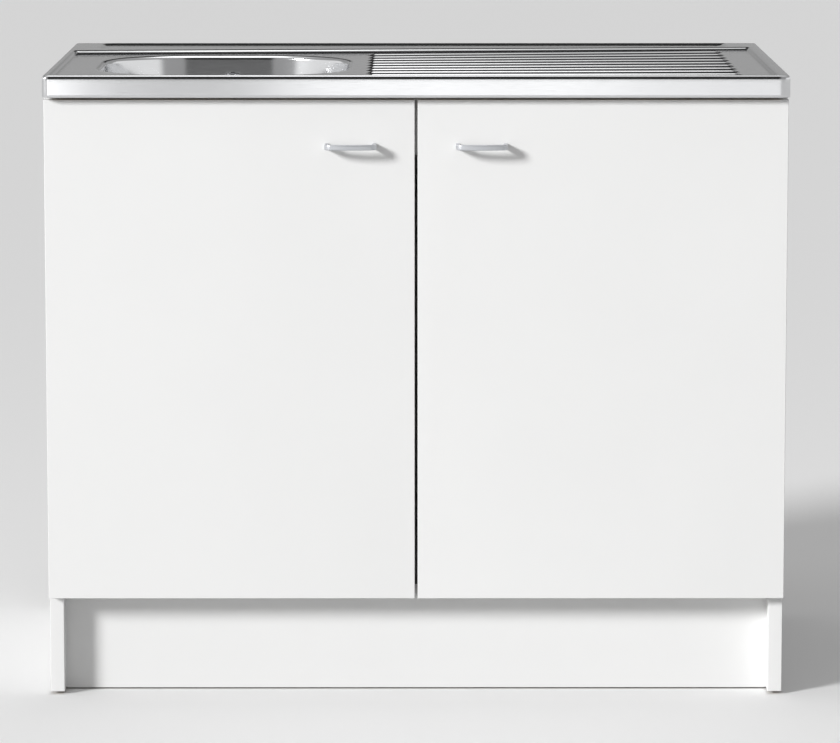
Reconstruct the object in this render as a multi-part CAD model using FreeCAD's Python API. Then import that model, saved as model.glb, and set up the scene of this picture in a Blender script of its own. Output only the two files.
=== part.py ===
"""Free-standing kitchen sink unit: a pressed steel sink top on a two-door base cabinet.

Working frame while the pieces are built: +X to the right, +Y to the back, +Z up,
x = 0 in the middle of the unit, y = 0 at the front face of the sink's skirt and
z = 0 on the floor.  place() moves every piece so that the origin of the finished
unit lies on the floor under the middle of its overall box.
"""
import FreeCAD
import Part

import math
import os

os.makedirs("parts", exist_ok=True)

V = FreeCAD.Vector

# ---------------------------------------------------------------- overall
sink_width = 1000.0
sink_depth = 600.0
unit_height = 850.0
skirt_height = 30.0
side_overhang = 1.0          # sink past the carcass, each side
rear_overhang = 6.0          # sink past the carcass at the back
fascia_overhang = 15.0       # skirt in front of the door fronts

# ---------------------------------------------------------------- boards
board = 19.0
board_edge_round = 0.8       # banded edges of doors and side panels
door_thickness = 16.0
door_gap = 3.0               # closed door to the front edges of the carcass
door_middle_gap = 4.0
door_top_gap = 4.0           # door below the top of the carcass
door_bottom_reveal = 3.0     # bottom panel shows this much under the doors
plinth_height = 134.0        # floor to the underside of the bottom panel
kick_setback = 35.0
kick_thickness = 16.0
kick_floor_gap = 2.0
top_rail_height = 80.0
rear_rail_height = 100.0
back_thickness = 3.2
cutout_width = 240.0         # opening in the back for the pipes
cutout_height = 170.0
cutout_corner = 20.0
cutout_rise = 40.0           # middle of the opening above the outlet pipe
back_groove_depth = 8.0
back_inset = 10.0            # groove from the rear edge of the side panels
groove_clearance = 0.1
glide_height = 4.0
glide_radius = 8.0
glide_inset = 45.0
glide_edge = 1.0
assembly_front_inset = 60.0  # long screws from the front edge of the bottom panel
assembly_rear_inset = 80.0
assembly_rail_inset = 20.0   # long screws from the long edges of the rails
kick_bracket_rise = 34.0     # lower brackets above the floor
kick_bracket_drop = 20.0     # upper brackets under the bottom panel

# ---------------------------------------------------------------- sink sheet
sheet = 1.0
skirt_corner = 12.0
rim_fillet = 4.0
lip_width = 10.0             # skirt folded inwards along its lower edge
rim_side = 17.0
rim_front = 9.0
rim_back = 12.0
rim_slope = 6.0              # run of the pressed slope from rim to deck
deck_corner = 14.0
deck_depth = 9.0             # sunk deck round the bowl, below the rim
deck_depth_right = 3.0       # drainer is shallower at its far end
drainer_gap = 25.0           # plain strip between the bowl and the ribs
drainer_right = 440.0
rib_count = 9
rib_first = 48.0             # first rib from the front of the skirt
rib_pitch_left = 45.0
rib_pitch_right = 50.0
rib_half_width = 9.0
rib_rise = 3.5
ledge_left = -463.0
ledge_right = 460.0
ledge_gap = 41.0             # plain strip between the bowl and the ledge's left end
ledge_skew = 60.0            # ledge's front edge runs back by this much to the right
ledge_back_inset = 22.0
ledge_slope = 9.0
ledge_end_radius = 18.0

# ---------------------------------------------------------------- bowl
bowl_x = -264.0
bowl_front = 60.0            # mouth's front edge behind the skirt
bowl_width = 340.0
bowl_length = 346.0
bowl_corner = 120.0
bowl_depth = 150.0
bowl_taper = 14.0            # each side, from mouth to floor
bowl_floor_fillet = 24.0
bowl_flange = 7.0

# ---------------------------------------------------------------- waste
waste_hole_radius = 45.0
waste_rim_radius = 56.0
waste_rim_thickness = 2.0
waste_rim_edge = 0.75
waste_dish_radius = 42.0
waste_dish_depth = 26.0
waste_dish_bevel = 4.0       # rim slopes up over this width from the dish
waste_dish_lip_drop = 1.0
waste_wall = 1.5
dish_hole_count = 8
dish_hole_radius = 6.0
dish_hole_circle = 26.0
gasket_thickness = 3.0
gasket_inset = 1.0
body_flange_radius = 58.0
body_radius = 48.0
body_wall = 3.0
body_cone_height = 22.0
tail_radius = 20.0
tail_bore = 17.0
tail_length = 34.0
bridge_half_width = 4.0      # bar across the body that the centre screw grips
bridge_under = 2.0
bridge_over = 3.0
screw_radius = 3.0
screw_play = 0.5
screw_head_radius = 6.0
screw_head_height = 2.5
port_radius = 11.0
port_bore = 8.0
port_length = 20.0
basket_wall = 1.2
basket_bevel = 6.0
basket_top_drop = 2.0
basket_stem_radius = 4.0
basket_hole_radius = 3.0
basket_hole_circle = 22.0
basket_hole_count = 12
knob_radius = 9.0
knob_under = 2.0
knob_side = 4.0
knob_dome = 1.0
fit_clearance = 0.3
thread_clearance = 0.2
push_clearance = 0.1
axis_gap = 0.001             # revolved outlines start this far from their axis
cut_margin = 1.0             # cutting tools run past the surface that they open

# ---------------------------------------------------------------- trap
nut_radius = 27.0
nut_height = 20.0
nut_grip = 11.0              # nut reaches this far up the waste's tail
nut_notch_count = 8
nut_notch_radius = 3.0
nut_notch_out = 1.0
trap_radius = 36.0
trap_shoulder_radius = 28.8
trap_shoulder_drop = 8.0
trap_neck_depth = 6.0
trap_height = 92.0
trap_wall = 3.0
trap_thread_length = 16.0
trap_cup_height = 46.0
trap_cup_radius = 40.0
trap_cup_bevel = 12.0
trap_cup_foot_inset = 6.0
trap_cup_hollow_inset = 10.0
trap_cup_rise = 14.0         # cup's inner wall starts above its foot
cup_notch_count = 12
cup_notch_radius = 2.6
cup_notch_out = 1.2
trap_inlet_length = 60.0
trap_inlet_gap = 24.0        # pipe that shows between the waste's tail and the trap
outlet_drop = 26.0           # outlet axis below the top of the trap body
outlet_radius = 20.0
outlet_bore = 17.6
outlet_seat = 6.0            # pipe starts this far outside the trap's barrel
outlet_mark_from_end = 60.0  # insertion mark, a fine groove round the pipe
outlet_mark_width = 1.0
outlet_mark_depth = 0.3
socket_length = 34.0
socket_sink = 1.0            # socket starts inside the barrel's wall
outlet_nut_length = 24.0
outlet_nut_thread = 18.0
outlet_nut_wall = 5.0

# ---------------------------------------------------------------- overflow
overflow_drop = 44.0         # centre of the overflow below the sunk deck
rosette_radius = 20.0
rosette_thickness = 1.5
rosette_slot_half_length = 9.0
rosette_slot_half_height = 1.5
rosette_slot_pitch = 8.0
rosette_neck_length = 8.0
rosette_neck_wall = 1.7
overflow_bore = 14.0
elbow_radius = 19.0
elbow_depth = 16.0
elbow_wall = 2.0
elbow_drop = 34.0            # spout's end under the overflow's centre
elbow_socket = 19.0
spout_inset = 4.0            # spout's axis in front of the elbow's outer end
tube_radius = 10.0
tube_bore = 8.0
tube_bend = 32.0
tube_top_drop = 16.0

# ---------------------------------------------------------------- support
batten_width = 40.0
batten_rear_width = 18.0
batten_clearance = 0.3
batten_margin = 1.0          # battens clear of the skirt's fold and the bowl's flange
bracket_leg = 24.0
bracket_width = 20.0
bracket_sheet = 2.0
bracket_places = (180.0, 470.0)
bracket_screw_reach = 15.6   # screw from the bracket's corner, along each leg
wood_screw_head = 3.5
wood_screw_cap = 2.1
wood_screw_shank = 1.6
wood_screw_length = 14.0
assembly_screw_head = 5.0
assembly_screw_head_depth = 3.0
assembly_screw_shank = 2.5
assembly_screw_length = 50.0

# ---------------------------------------------------------------- hinge
hinge_from_edge = 105.0      # from the door's upper and lower edges
cup_edge = 3.0               # from the door's edge to the cup's bore
cup_bore_radius = 17.5
cup_clearance = 0.1
cup_depth = 12.3
cup_floor = 0.8
cup_flange = 1.0
cup_flange_half_height = 29.0
cup_flange_start = 2.0
cup_flange_end = 34.0
cup_flange_corner = 8.0
cup_slot_end = 2.0           # slot stops this far inside the flange
cup_screw_length = 11.0
cup_screw_spread = 22.5
cup_screw_edge = 29.0
pivot_edge = 7.0             # hinge pin from the door's edge
pivot_depth = 8.6            # hinge pin under the door's back face
pin_radius = 1.25
pin_half_length = 8.5
pin_seat_clearance = 0.02
pin_running_clearance = 0.05
eye_radius = 2.2
arm_sheet = 2.0
arm_half_width = 5.0
arm_side_clearance = 0.4
arm_drop = 1.2               # arm's middle under the pin, inside the cup
arm_bend = 4.0
arm_end = 58.0
arm_cheek_start = 8.0
arm_cheek_height = 6.0
arm_cheek_sheet = 1.2
plate_sheet = 1.5
plate_setback = 37.0
plate_half_depth = 15.0
plate_half_height = 25.0
plate_corner = 5.0
plate_screw_spread = 16.0

# ---------------------------------------------------------------- handle
handle_hole_distance = 64.0
handle_projection = 28.0
handle_bar = 6.0
handle_corner = 7.0
handle_height = 7.6
handle_bow = 3.0
handle_fillet = 1.8
handle_x = 88.0
handle_drop = 62.0           # handle's middle below the door's upper edge
handle_screw_radius = 2.0
handle_screw_head = 4.5
handle_screw_head_thickness = 2.5
handle_screw_bite = 10.0

# ---------------------------------------------------------------- catch, bumpers
catch_x = 150.0
catch_width = 46.0
catch_height = 14.0
catch_depth = 18.0
catch_step = 0.8             # magnet face in front of the rail
catch_corner = 2.0
strike_width = 36.0
strike_height = 12.0
strike_thickness = 1.5
bumper_radius = 4.0
bumper_clearance = 0.3
bumper_inset = 22.0
bumper_top_drop = 26.0
bumper_bottom_rise = 8.0

# ---------------------------------------------------------------- derived
carcass_top = unit_height - skirt_height
carcass_half = sink_width / 2 - side_overhang
inner_half = carcass_half - board
front_y = fascia_overhang + door_thickness + door_gap
rear_y = sink_depth - rear_overhang
door_back_y = front_y - door_gap
door_front_y = door_back_y - door_thickness
door_top = carcass_top - door_top_gap
door_bottom = plinth_height + door_bottom_reveal
door_width = carcass_half - door_middle_gap / 2
floor_top = plinth_height + board
box_front = min(0.0, door_front_y - handle_projection)
box_middle_y = (box_front + sink_depth) / 2
deck_z = unit_height - deck_depth
deck_z_right = unit_height - deck_depth_right
bowl_y = bowl_front + bowl_length / 2
drainer_left = bowl_x + bowl_width / 2 + drainer_gap
ledge_front_left = bowl_front + bowl_length + ledge_gap
ledge_front_right = ledge_front_left + ledge_skew
ledge_back = sink_depth - ledge_back_inset
bowl_rim_z = deck_z - sheet
bowl_floor_z = deck_z - bowl_depth
hinge_heights = (door_bottom + hinge_from_edge, door_top - hinge_from_edge)
floor_under_z = bowl_floor_z - sheet
body_top_z = floor_under_z - gasket_thickness
dish_bottom_z = bowl_floor_z + waste_rim_thickness - waste_dish_depth
body_bottom_z = dish_bottom_z - body_wall - body_cone_height
tail_end_z = body_bottom_z - tail_length
overflow_z = deck_z - overflow_drop
overflow_y = bowl_y + bowl_length / 2 - bowl_taper * overflow_drop / bowl_depth
tube_y = overflow_y + sheet + elbow_depth - spout_inset
port_z = (body_top_z + dish_bottom_z - body_wall) / 2
trap_top_z = tail_end_z - fit_clearance - trap_inlet_gap
outlet_z = trap_top_z - outlet_drop
axis = V(bowl_x, bowl_y, 0)
handle_z = door_top - handle_drop
pivot = V(-carcass_half + pivot_edge, door_back_y - pivot_depth, 0)
cup_centre_x = -carcass_half + cup_edge + cup_bore_radius
edge_tolerance = 0.01        # for picking edges by their place


# ---------------------------------------------------------------- helpers
def box(x0, x1, y0, y1, z0, z1):
    """Block between two corners."""
    return Part.makeBox(x1 - x0, y1 - y0, z1 - z0, V(x0, y0, z0))


def rod(radius, length, base, direction=V(0, 0, 1)):
    """Round bar from a base point along a direction."""
    return Part.makeCylinder(radius, length, base, direction)


def rounded_wire(x0, x1, y0, y1, z, radius):
    """Flat rectangle with round corners at height z."""
    k = radius * (1 - math.sqrt(0.5))
    corners = (
        (V(x1 - radius, y0, z), V(x1 - k, y0 + k, z), V(x1, y0 + radius, z)),
        (V(x1, y1 - radius, z), V(x1 - k, y1 - k, z), V(x1 - radius, y1, z)),
        (V(x0 + radius, y1, z), V(x0 + k, y1 - k, z), V(x0, y1 - radius, z)),
        (V(x0, y0 + radius, z), V(x0 + k, y0 + k, z), V(x0 + radius, y0, z)),
    )
    edges = []
    last = V(x0 + radius, y0, z)
    for start, middle, end in corners:
        edges.append(Part.LineSegment(last, start).toShape())
        edges.append(Part.Arc(start, middle, end).toShape())
        last = end
    return Part.Wire(edges)


def rounded_prism(x0, x1, y0, y1, z0, z1, radius):
    """Upright prism over a rectangle with round corners."""
    face = Part.Face(rounded_wire(x0, x1, y0, y1, z0, radius))
    return face.extrude(V(0, 0, z1 - z0))


def revolved(points, centre):
    """Solid of revolution about the upright line through centre, from (radius, z) pairs."""
    corners = [V(centre.x + r, centre.y, z) for r, z in points]
    face = Part.Face(Part.makePolygon(corners + [corners[0]]))
    return face.revolve(V(centre.x, centre.y, 0), V(0, 0, 1), 360)


def mirrored(shape):
    """The same piece on the other side of the unit."""
    return shape.mirror(V(0, 0, 0), V(1, 0, 0))


def group(shapes):
    """Identical or paired pieces that share one node, as separate solids."""
    return Part.makeCompound(shapes)


def place(shape):
    """Move a finished piece from the working frame to the unit's own origin."""
    moved = shape.copy()
    moved.translate(V(0, -box_middle_y, 0))
    return moved


nodes = {}


def keep(name, shape):
    """Register a piece under its node name."""
    nodes[name] = place(shape)


def banded(board_solid, face_y):
    """Round the long edges round a board's face that looks to the front at face_y."""
    edges = [edge for edge in board_solid.Edges
             if abs(edge.BoundBox.YMin - face_y) < edge_tolerance
             and edge.BoundBox.YLength < edge_tolerance]
    return board_solid.makeFillet(board_edge_round, edges)


def ring_spots(count, radius, z):
    """Places evenly round the waste's axis."""
    angles = [2 * math.pi * index / count for index in range(count)]
    return [V(bowl_x + radius * math.cos(a), bowl_y + radius * math.sin(a), z) for a in angles]


def wood_screw(tip_direction, head_face, head=wood_screw_head, length=wood_screw_length):
    """Pan-head screw whose head's underside centre is at head_face."""
    direction = V(tip_direction)
    direction.normalize()
    cap = rod(head, wood_screw_cap, head_face - direction * wood_screw_cap, direction)
    shank = rod(wood_screw_shank, length, head_face, direction)
    return cap.fuse(shank).removeSplitter()


# ---------------------------------------------------------------- carcass
def side_panel():
    """Left side panel with the groove for the back and the glides' contact faces."""
    panel = box(-carcass_half, -inner_half, front_y, rear_y, glide_height, carcass_top)
    panel = banded(panel, front_y)
    groove = box(-inner_half - back_groove_depth, -inner_half,
                 rear_y - back_inset - back_thickness - groove_clearance,
                 rear_y - back_inset + groove_clearance,
                 floor_top - back_groove_depth, carcass_top - rear_rail_height)
    panel = panel.cut(groove)
    for y, z in assembly_points():
        hole = rod(assembly_screw_shank, board, V(-carcass_half, y, z), V(1, 0, 0))
        sink = rod(assembly_screw_head, assembly_screw_head_depth, V(-carcass_half, y, z), V(1, 0, 0))
        panel = panel.cut(hole.fuse(sink))
    for z in hinge_heights:
        for spot in plate_screw_spots(z):
            hole = rod(wood_screw_shank, wood_screw_length - plate_sheet, spot, V(-1, 0, 0))
            panel = panel.cut(hole)
    return panel


def assembly_points():
    """Where the long assembly screws pass through a side panel: (y, z)."""
    bottom_z = plinth_height + board / 2
    points = [(front_y + assembly_front_inset, bottom_z), (rear_y - assembly_rear_inset, bottom_z)]
    inset = assembly_rail_inset
    for y, height in ((front_y + board / 2, top_rail_height), (rear_y - board / 2, rear_rail_height)):
        points += [(y, carcass_top - inset), (y, carcass_top - height + inset)]
    return points


def assembly_screw(y, z):
    """Long screw with a flush head, from the left side panel inwards."""
    start = V(-carcass_half, y, z)
    head = rod(assembly_screw_head - groove_clearance, assembly_screw_head_depth, start, V(1, 0, 0))
    shank = rod(assembly_screw_shank, assembly_screw_length, start, V(1, 0, 0))
    return head.fuse(shank).removeSplitter()


def drilled_for_assembly(piece):
    """Cut the assembly screws' seats out of a board, on both sides of the unit."""
    for y, z in assembly_points():
        start = V(-inner_half, y, z)
        hole = rod(assembly_screw_shank, assembly_screw_length - board, start, V(1, 0, 0))
        piece = piece.cut(hole).cut(mirrored(hole))
    return piece


def bottom_panel():
    """Cabinet floor with the groove that holds the back."""
    panel = box(-inner_half, inner_half, front_y, rear_y, plinth_height, floor_top)
    groove = box(-inner_half, inner_half,
                 rear_y - back_inset - back_thickness - groove_clearance,
                 rear_y - back_inset + groove_clearance,
                 floor_top - back_groove_depth, floor_top)
    return drilled_for_assembly(panel.cut(groove))


def front_top_rail():
    """Upright rail behind the skirt, in front of the bowl."""
    rail = box(-inner_half, inner_half, front_y, front_y + board,
               carcass_top - top_rail_height, carcass_top)
    return drilled_for_assembly(rail)


def rear_top_rail():
    """Upright rail along the wall side."""
    rail = box(-inner_half, inner_half, rear_y - board, rear_y,
               carcass_top - rear_rail_height, carcass_top)
    return drilled_for_assembly(rail)


def back_panel():
    """Hardboard back under the rear rail, in the grooves, with an opening for the pipes."""
    side = inner_half + back_groove_depth - groove_clearance
    y0 = rear_y - back_inset - back_thickness
    panel = box(-side, side, y0, y0 + back_thickness,
                floor_top - back_groove_depth + groove_clearance,
                carcass_top - rear_rail_height - groove_clearance)
    z = outlet_z + cutout_rise
    opening = rounded_prism(bowl_x - cutout_width / 2, bowl_x + cutout_width / 2,
                            z - cutout_height / 2, z + cutout_height / 2,
                            -y0 - 2 * back_thickness, -y0 + back_thickness, cutout_corner)
    opening.rotate(V(0, 0, 0), V(1, 0, 0), 90)
    return panel.cut(opening)


def kick_board():
    """Plinth board between the side panels, under the bottom panel."""
    y0 = front_y + kick_setback
    return box(-inner_half, inner_half, y0, y0 + kick_thickness, kick_floor_gap, plinth_height)


def kick_brackets():
    """Four small angles that hold the kick board to the side panels and the floor board."""
    y0 = front_y + kick_setback + kick_thickness
    leg = bracket_leg
    t = bracket_sheet
    pieces = []
    for z in (kick_bracket_rise, plinth_height - kick_bracket_drop - bracket_width):
        flat = box(-inner_half, -inner_half + t, y0, y0 + leg, z, z + bracket_width)
        front = box(-inner_half, -inner_half + leg, y0, y0 + t, z, z + bracket_width)
        angle = flat.fuse(front).removeSplitter()
        pieces += [angle, mirrored(angle)]
    return group(pieces)


def floor_glides():
    """Two nail-on glides under each side panel."""
    pieces = []
    for y in (front_y + glide_inset, rear_y - glide_inset):
        foot = rod(glide_radius, glide_height, V(-carcass_half + board / 2, y, 0))
        foot = foot.makeFillet(glide_edge, [edge for edge in foot.Edges
                                            if edge.BoundBox.ZMax < edge_tolerance])
        pieces += [foot, mirrored(foot)]
    return group(pieces)


def assembly_screws():
    """All long assembly screws of the carcass."""
    left = [assembly_screw(y, z) for y, z in assembly_points()]
    return group(left + [mirrored(piece) for piece in left])


# ---------------------------------------------------------------- sink top
def deck_wedge(drop):
    """Space above the sunk deck: level round the bowl, rising along the drainer."""
    left = -sink_width / 2
    right = sink_width / 2
    high = unit_height + skirt_height
    run = drainer_right - drainer_left
    slope = (deck_z_right - deck_z) / run
    right_z = deck_z + slope * (right - drainer_left)
    corners = [V(left, 0, deck_z - drop), V(drainer_left, 0, deck_z - drop),
               V(right, 0, right_z - drop), V(right, 0, high), V(left, 0, high)]
    face = Part.Face(Part.makePolygon(corners + [corners[0]]))
    return face.extrude(V(0, sink_depth, 0))


def recess_wire(inset, z):
    """Outline of the recess in the rim at height z, drawn in by inset."""
    return rounded_wire(-sink_width / 2 + rim_side + inset, sink_width / 2 - rim_side - inset,
                        rim_front + inset, sink_depth - rim_back - inset, z, deck_corner - inset)


def deck_recess(offset):
    """Volume pressed out of the block, grown by offset for the sheet's underside."""
    per_height = rim_slope / deck_depth
    low = deck_z - deck_depth
    foot = recess_wire(per_height * (unit_height - low) - offset, low)
    brim = recess_wire(-per_height * cut_margin - offset, unit_height + cut_margin)
    return Part.makeLoft([foot, brim], True, True).common(deck_wedge(offset))


def ledge_wire(grow, z):
    """Outline of the raised ledge along the back, its front edge running askew."""
    x0 = ledge_left - grow
    x1 = ledge_right + grow
    back = ledge_back + grow
    front_left = ledge_front_left - grow
    front_right = ledge_front_right - grow
    r = ledge_end_radius + grow
    k = r * (1 - math.sqrt(0.5))
    edges = [
        Part.LineSegment(V(x0 + r, front_left, z), V(x1, front_right, z)).toShape(),
        Part.LineSegment(V(x1, front_right, z), V(x1, back, z)).toShape(),
        Part.LineSegment(V(x1, back, z), V(x0 + r, back, z)).toShape(),
        Part.Arc(V(x0 + r, back, z), V(x0 + k, back - k, z), V(x0, back - r, z)).toShape(),
        Part.LineSegment(V(x0, back - r, z), V(x0, front_left + r, z)).toShape(),
        Part.Arc(V(x0, front_left + r, z), V(x0 + k, front_left + k, z),
                 V(x0 + r, front_left, z)).toShape(),
    ]
    return Part.Wire(edges)


def ledge(offset):
    """Raised ledge with sloping sides, shrunk by offset for the underside."""
    low = deck_z - deck_depth
    per_height = ledge_slope / deck_depth
    grow = per_height * (unit_height - low)
    foot = ledge_wire(grow - offset, low)
    crown = ledge_wire(-offset, unit_height - offset)
    return Part.makeLoft([foot, crown], True, True)


def rib(index, offset):
    """One drainer rib: a long round-backed ridge with a domed tip towards the bowl."""
    radius = (rib_half_width ** 2 + rib_rise ** 2) / (2 * rib_rise)
    sunk = radius - rib_rise
    margin = rib_half_width
    start = V(drainer_left + margin, rib_first + rib_pitch_left * index, deck_z - sunk)
    finish = V(drainer_right - margin, rib_first + rib_pitch_right * index, deck_z_right - sunk)
    run = finish - start
    bar = rod(radius - offset, run.Length, start, run)
    tips = [Part.makeSphere(radius - offset, spot) for spot in (start, finish)]
    return bar.multiFuse(tips)


def pressing(offset):
    """Block with the pressed upper face, drawn in by offset on every side."""
    block = rounded_prism(-sink_width / 2 + offset, sink_width / 2 - offset,
                          offset, sink_depth - offset,
                          carcass_top + offset, unit_height - offset, skirt_corner - offset)
    top_edges = [edge for edge in block.Edges
                 if edge.BoundBox.ZMin > unit_height - offset - edge_tolerance]
    block = block.makeFillet(rim_fillet - offset, top_edges)
    block = block.cut(deck_recess(offset))
    low = deck_z - deck_depth
    raised = ledge(offset).common(box(-sink_width / 2, sink_width / 2, 0, sink_depth,
                                      low, unit_height))
    inside = deck_recess(offset)
    ribs = [rib(index, offset) for index in range(rib_count)]
    floor_cut = box(-sink_width / 2 + rim_side, sink_width / 2 - rim_side,
                    rim_front, sink_depth - rim_back, deck_z - deck_depth, unit_height)
    ribs = [piece.common(floor_cut) for piece in ribs]
    return block.multiFuse([raised.common(inside)] + [piece.common(inside) for piece in ribs])


def bowl_hole(z0, z1):
    """Prism through the mouth of the bowl."""
    return rounded_prism(bowl_x - bowl_width / 2, bowl_x + bowl_width / 2,
                         bowl_y - bowl_length / 2, bowl_y + bowl_length / 2, z0, z1, bowl_corner)


def sink_deck():
    """Pressed sheet: rim, sunk deck, ledge, ribs, skirt and the skirt's inward fold."""
    sheet_solid = pressing(0.0).cut(pressing(sheet))
    sheet_solid = sheet_solid.cut(bowl_hole(carcass_top, unit_height + cut_margin))
    open_under = rounded_prism(-sink_width / 2 + lip_width, sink_width / 2 - lip_width,
                               lip_width, sink_depth - lip_width,
                               carcass_top - cut_margin, carcass_top + sheet + cut_margin / 2,
                               skirt_corner - lip_width)
    return sheet_solid.cut(open_under).removeSplitter()


def bowl_loft(inset, top_z, floor_z):
    """Tapered bowl body between its mouth and its floor, with a rounded floor edge."""
    half_w = bowl_width / 2 - inset
    half_l = bowl_length / 2 - inset
    mouth = rounded_wire(bowl_x - half_w, bowl_x + half_w, bowl_y - half_l, bowl_y + half_l,
                         top_z, bowl_corner - inset)
    half_w -= bowl_taper
    half_l -= bowl_taper
    base = rounded_wire(bowl_x - half_w, bowl_x + half_w, bowl_y - half_l, bowl_y + half_l,
                        floor_z, bowl_corner - bowl_taper - inset)
    solid = Part.makeLoft([mouth, base], True, True)
    low_edges = [edge for edge in solid.Edges if edge.BoundBox.ZMax < floor_z + edge_tolerance]
    return solid.makeFillet(bowl_floor_fillet - inset, low_edges)


def sink_bowl():
    """Deep-drawn bowl with a flange welded under the sheet."""
    outer = bowl_loft(-sheet, bowl_rim_z, floor_under_z)
    inner = bowl_loft(0.0, bowl_rim_z, bowl_floor_z)
    reach = bowl_flange
    flange = rounded_prism(bowl_x - bowl_width / 2 - reach, bowl_x + bowl_width / 2 + reach,
                           bowl_y - bowl_length / 2 - reach, bowl_y + bowl_length / 2 + reach,
                           bowl_rim_z - sheet, bowl_rim_z, bowl_corner + reach)
    body = outer.fuse(flange).cut(inner)
    hole = rod(waste_hole_radius, 4 * sheet, V(bowl_x, bowl_y, floor_under_z - sheet))
    wall_y = bowl_y + bowl_length / 2
    drain = rod(overflow_bore, 4 * bowl_taper, V(bowl_x, wall_y - 2 * bowl_taper, overflow_z),
                V(0, 1, 0))
    return body.cut(hole).cut(drain).removeSplitter()


def support_battens():
    """Wooden frame inside the skirt that stiffens the sheet and rests on the carcass."""
    low = carcass_top
    high = deck_z - sheet - batten_clearance
    x1 = sink_width / 2 - lip_width - batten_margin
    y0 = lip_width + batten_margin
    y1 = sink_depth - lip_width - batten_margin
    front = box(-x1, x1, y0, y0 + batten_width, low, high)
    rear = box(-x1, x1, y1 - batten_rear_width, y1, low, high)
    side = box(-x1, -x1 + batten_width, y0 + batten_width, y1 - batten_rear_width, low, high)
    reach_x = bowl_width / 2 + bowl_flange + batten_margin
    reach_y = bowl_length / 2 + bowl_flange + batten_margin
    hollow = rounded_prism(bowl_x - reach_x, bowl_x + reach_x, bowl_y - reach_y, bowl_y + reach_y,
                           low - cut_margin, high + cut_margin, bowl_corner)
    return group([piece.cut(hollow) for piece in (front, rear, side, mirrored(side))])


def sink_brackets():
    """Angles that tie the side battens to the side panels."""
    t = bracket_sheet
    pieces = []
    for y in bracket_places:
        wall = box(-inner_half, -inner_half + t, y, y + bracket_width,
                   carcass_top - bracket_leg, carcass_top)
        shelf = box(-inner_half, -inner_half + bracket_leg, y, y + bracket_width,
                    carcass_top - t, carcass_top)
        angle = wall.fuse(shelf).removeSplitter()
        for spot, direction in bracket_screw_spots(y):
            angle = angle.cut(rod(wood_screw_shank, 4 * t, spot - direction * t * 2, direction))
        pieces += [angle, mirrored(angle)]
    return group(pieces)


def bracket_screw_spots(y):
    """Head seats of the two screws of a bracket, with their directions."""
    middle = y + bracket_width / 2
    reach = bracket_screw_reach
    return ((V(-inner_half + bracket_sheet, middle, carcass_top - reach), V(-1, 0, 0)),
            (V(-inner_half + reach, middle, carcass_top - bracket_sheet), V(0, 0, 1)))


def bracket_screws():
    """Screws of the sink's brackets."""
    pieces = []
    for y in bracket_places:
        for spot, direction in bracket_screw_spots(y):
            screw = wood_screw(direction, spot)
            pieces += [screw, mirrored(screw)]
    return group(pieces)


def cut_for_screws(shape, screws):
    """Take the screws' space out of the wood that they go into."""
    for screw in screws.Solids:
        shape = shape.cut(screw)
    return shape


# ---------------------------------------------------------------- waste and trap
def waste_flange():
    """Steel dish of the waste: rim on the bowl's floor, perforated bottom."""
    top = bowl_floor_z + waste_rim_thickness
    r = waste_dish_radius
    w = waste_wall
    low = dish_bottom_z
    profile = [(screw_radius, low), (r, low), (r, bowl_floor_z), (waste_rim_radius, bowl_floor_z),
               (waste_rim_radius, bowl_floor_z + waste_rim_edge), (r + waste_dish_bevel, top),
               (r - w, top - waste_dish_lip_drop), (r - w, low + w), (screw_radius, low + w)]
    dish = revolved(profile, axis)
    for spot in ring_spots(dish_hole_count, dish_hole_circle, low - cut_margin):
        dish = dish.cut(rod(dish_hole_radius, w + 2 * cut_margin, spot))
    return dish


def waste_gasket():
    """Rubber ring between the bowl and the waste body."""
    inner = waste_hole_radius + gasket_inset
    outer = body_flange_radius - gasket_inset
    return revolved([(inner, body_top_z), (outer, body_top_z), (outer, floor_under_z),
                     (inner, floor_under_z)], axis)


def waste_body():
    """Moulded housing under the bowl with the tail and the overflow port."""
    w = body_wall
    low = dish_bottom_z - w
    outline = [(tail_bore, tail_end_z), (tail_radius, tail_end_z), (tail_radius, body_bottom_z),
               (body_radius + w, low), (body_radius + w, body_top_z - w),
               (body_flange_radius, body_top_z - w), (body_flange_radius, body_top_z),
               (body_radius, body_top_z), (body_radius, low + waste_wall),
               (tail_bore, body_bottom_z + waste_wall)]
    body = revolved(outline, axis)
    start = V(bowl_x, bowl_y + body_radius, port_z)
    port = rod(port_radius, port_length, start, V(0, 1, 0))
    barrel = rod(body_radius, body_top_z - tail_end_z, V(bowl_x, bowl_y, tail_end_z))
    body = body.fuse(port.cut(barrel))
    inlet = V(bowl_x, bowl_y + body_radius - 2 * w, port_z)
    body = body.cut(rod(port_bore, port_length + 3 * w, inlet, V(0, 1, 0)))
    bridge = box(bowl_x - body_radius, bowl_x + body_radius, bowl_y - bridge_half_width,
                 bowl_y + bridge_half_width, low - bridge_under, low + bridge_over)
    inside = rod(body_radius + w / 2, 2 * body_cone_height, V(bowl_x, bowl_y, low - body_cone_height))
    body = body.fuse(bridge.common(inside))
    grip = rod(screw_radius - screw_play, bridge_under + bridge_over + 2 * cut_margin,
               V(bowl_x, bowl_y, low - bridge_under - cut_margin))
    return body.cut(grip).removeSplitter()


def waste_screw():
    """Centre screw that pulls the dish and the body together."""
    seat = dish_bottom_z + waste_wall
    end = dish_bottom_z - body_wall - bridge_under
    head = rod(screw_head_radius, screw_head_height, V(bowl_x, bowl_y, seat))
    shank = rod(screw_radius - screw_play, seat - end, V(bowl_x, bowl_y, end))
    return head.fuse(shank).removeSplitter()


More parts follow.
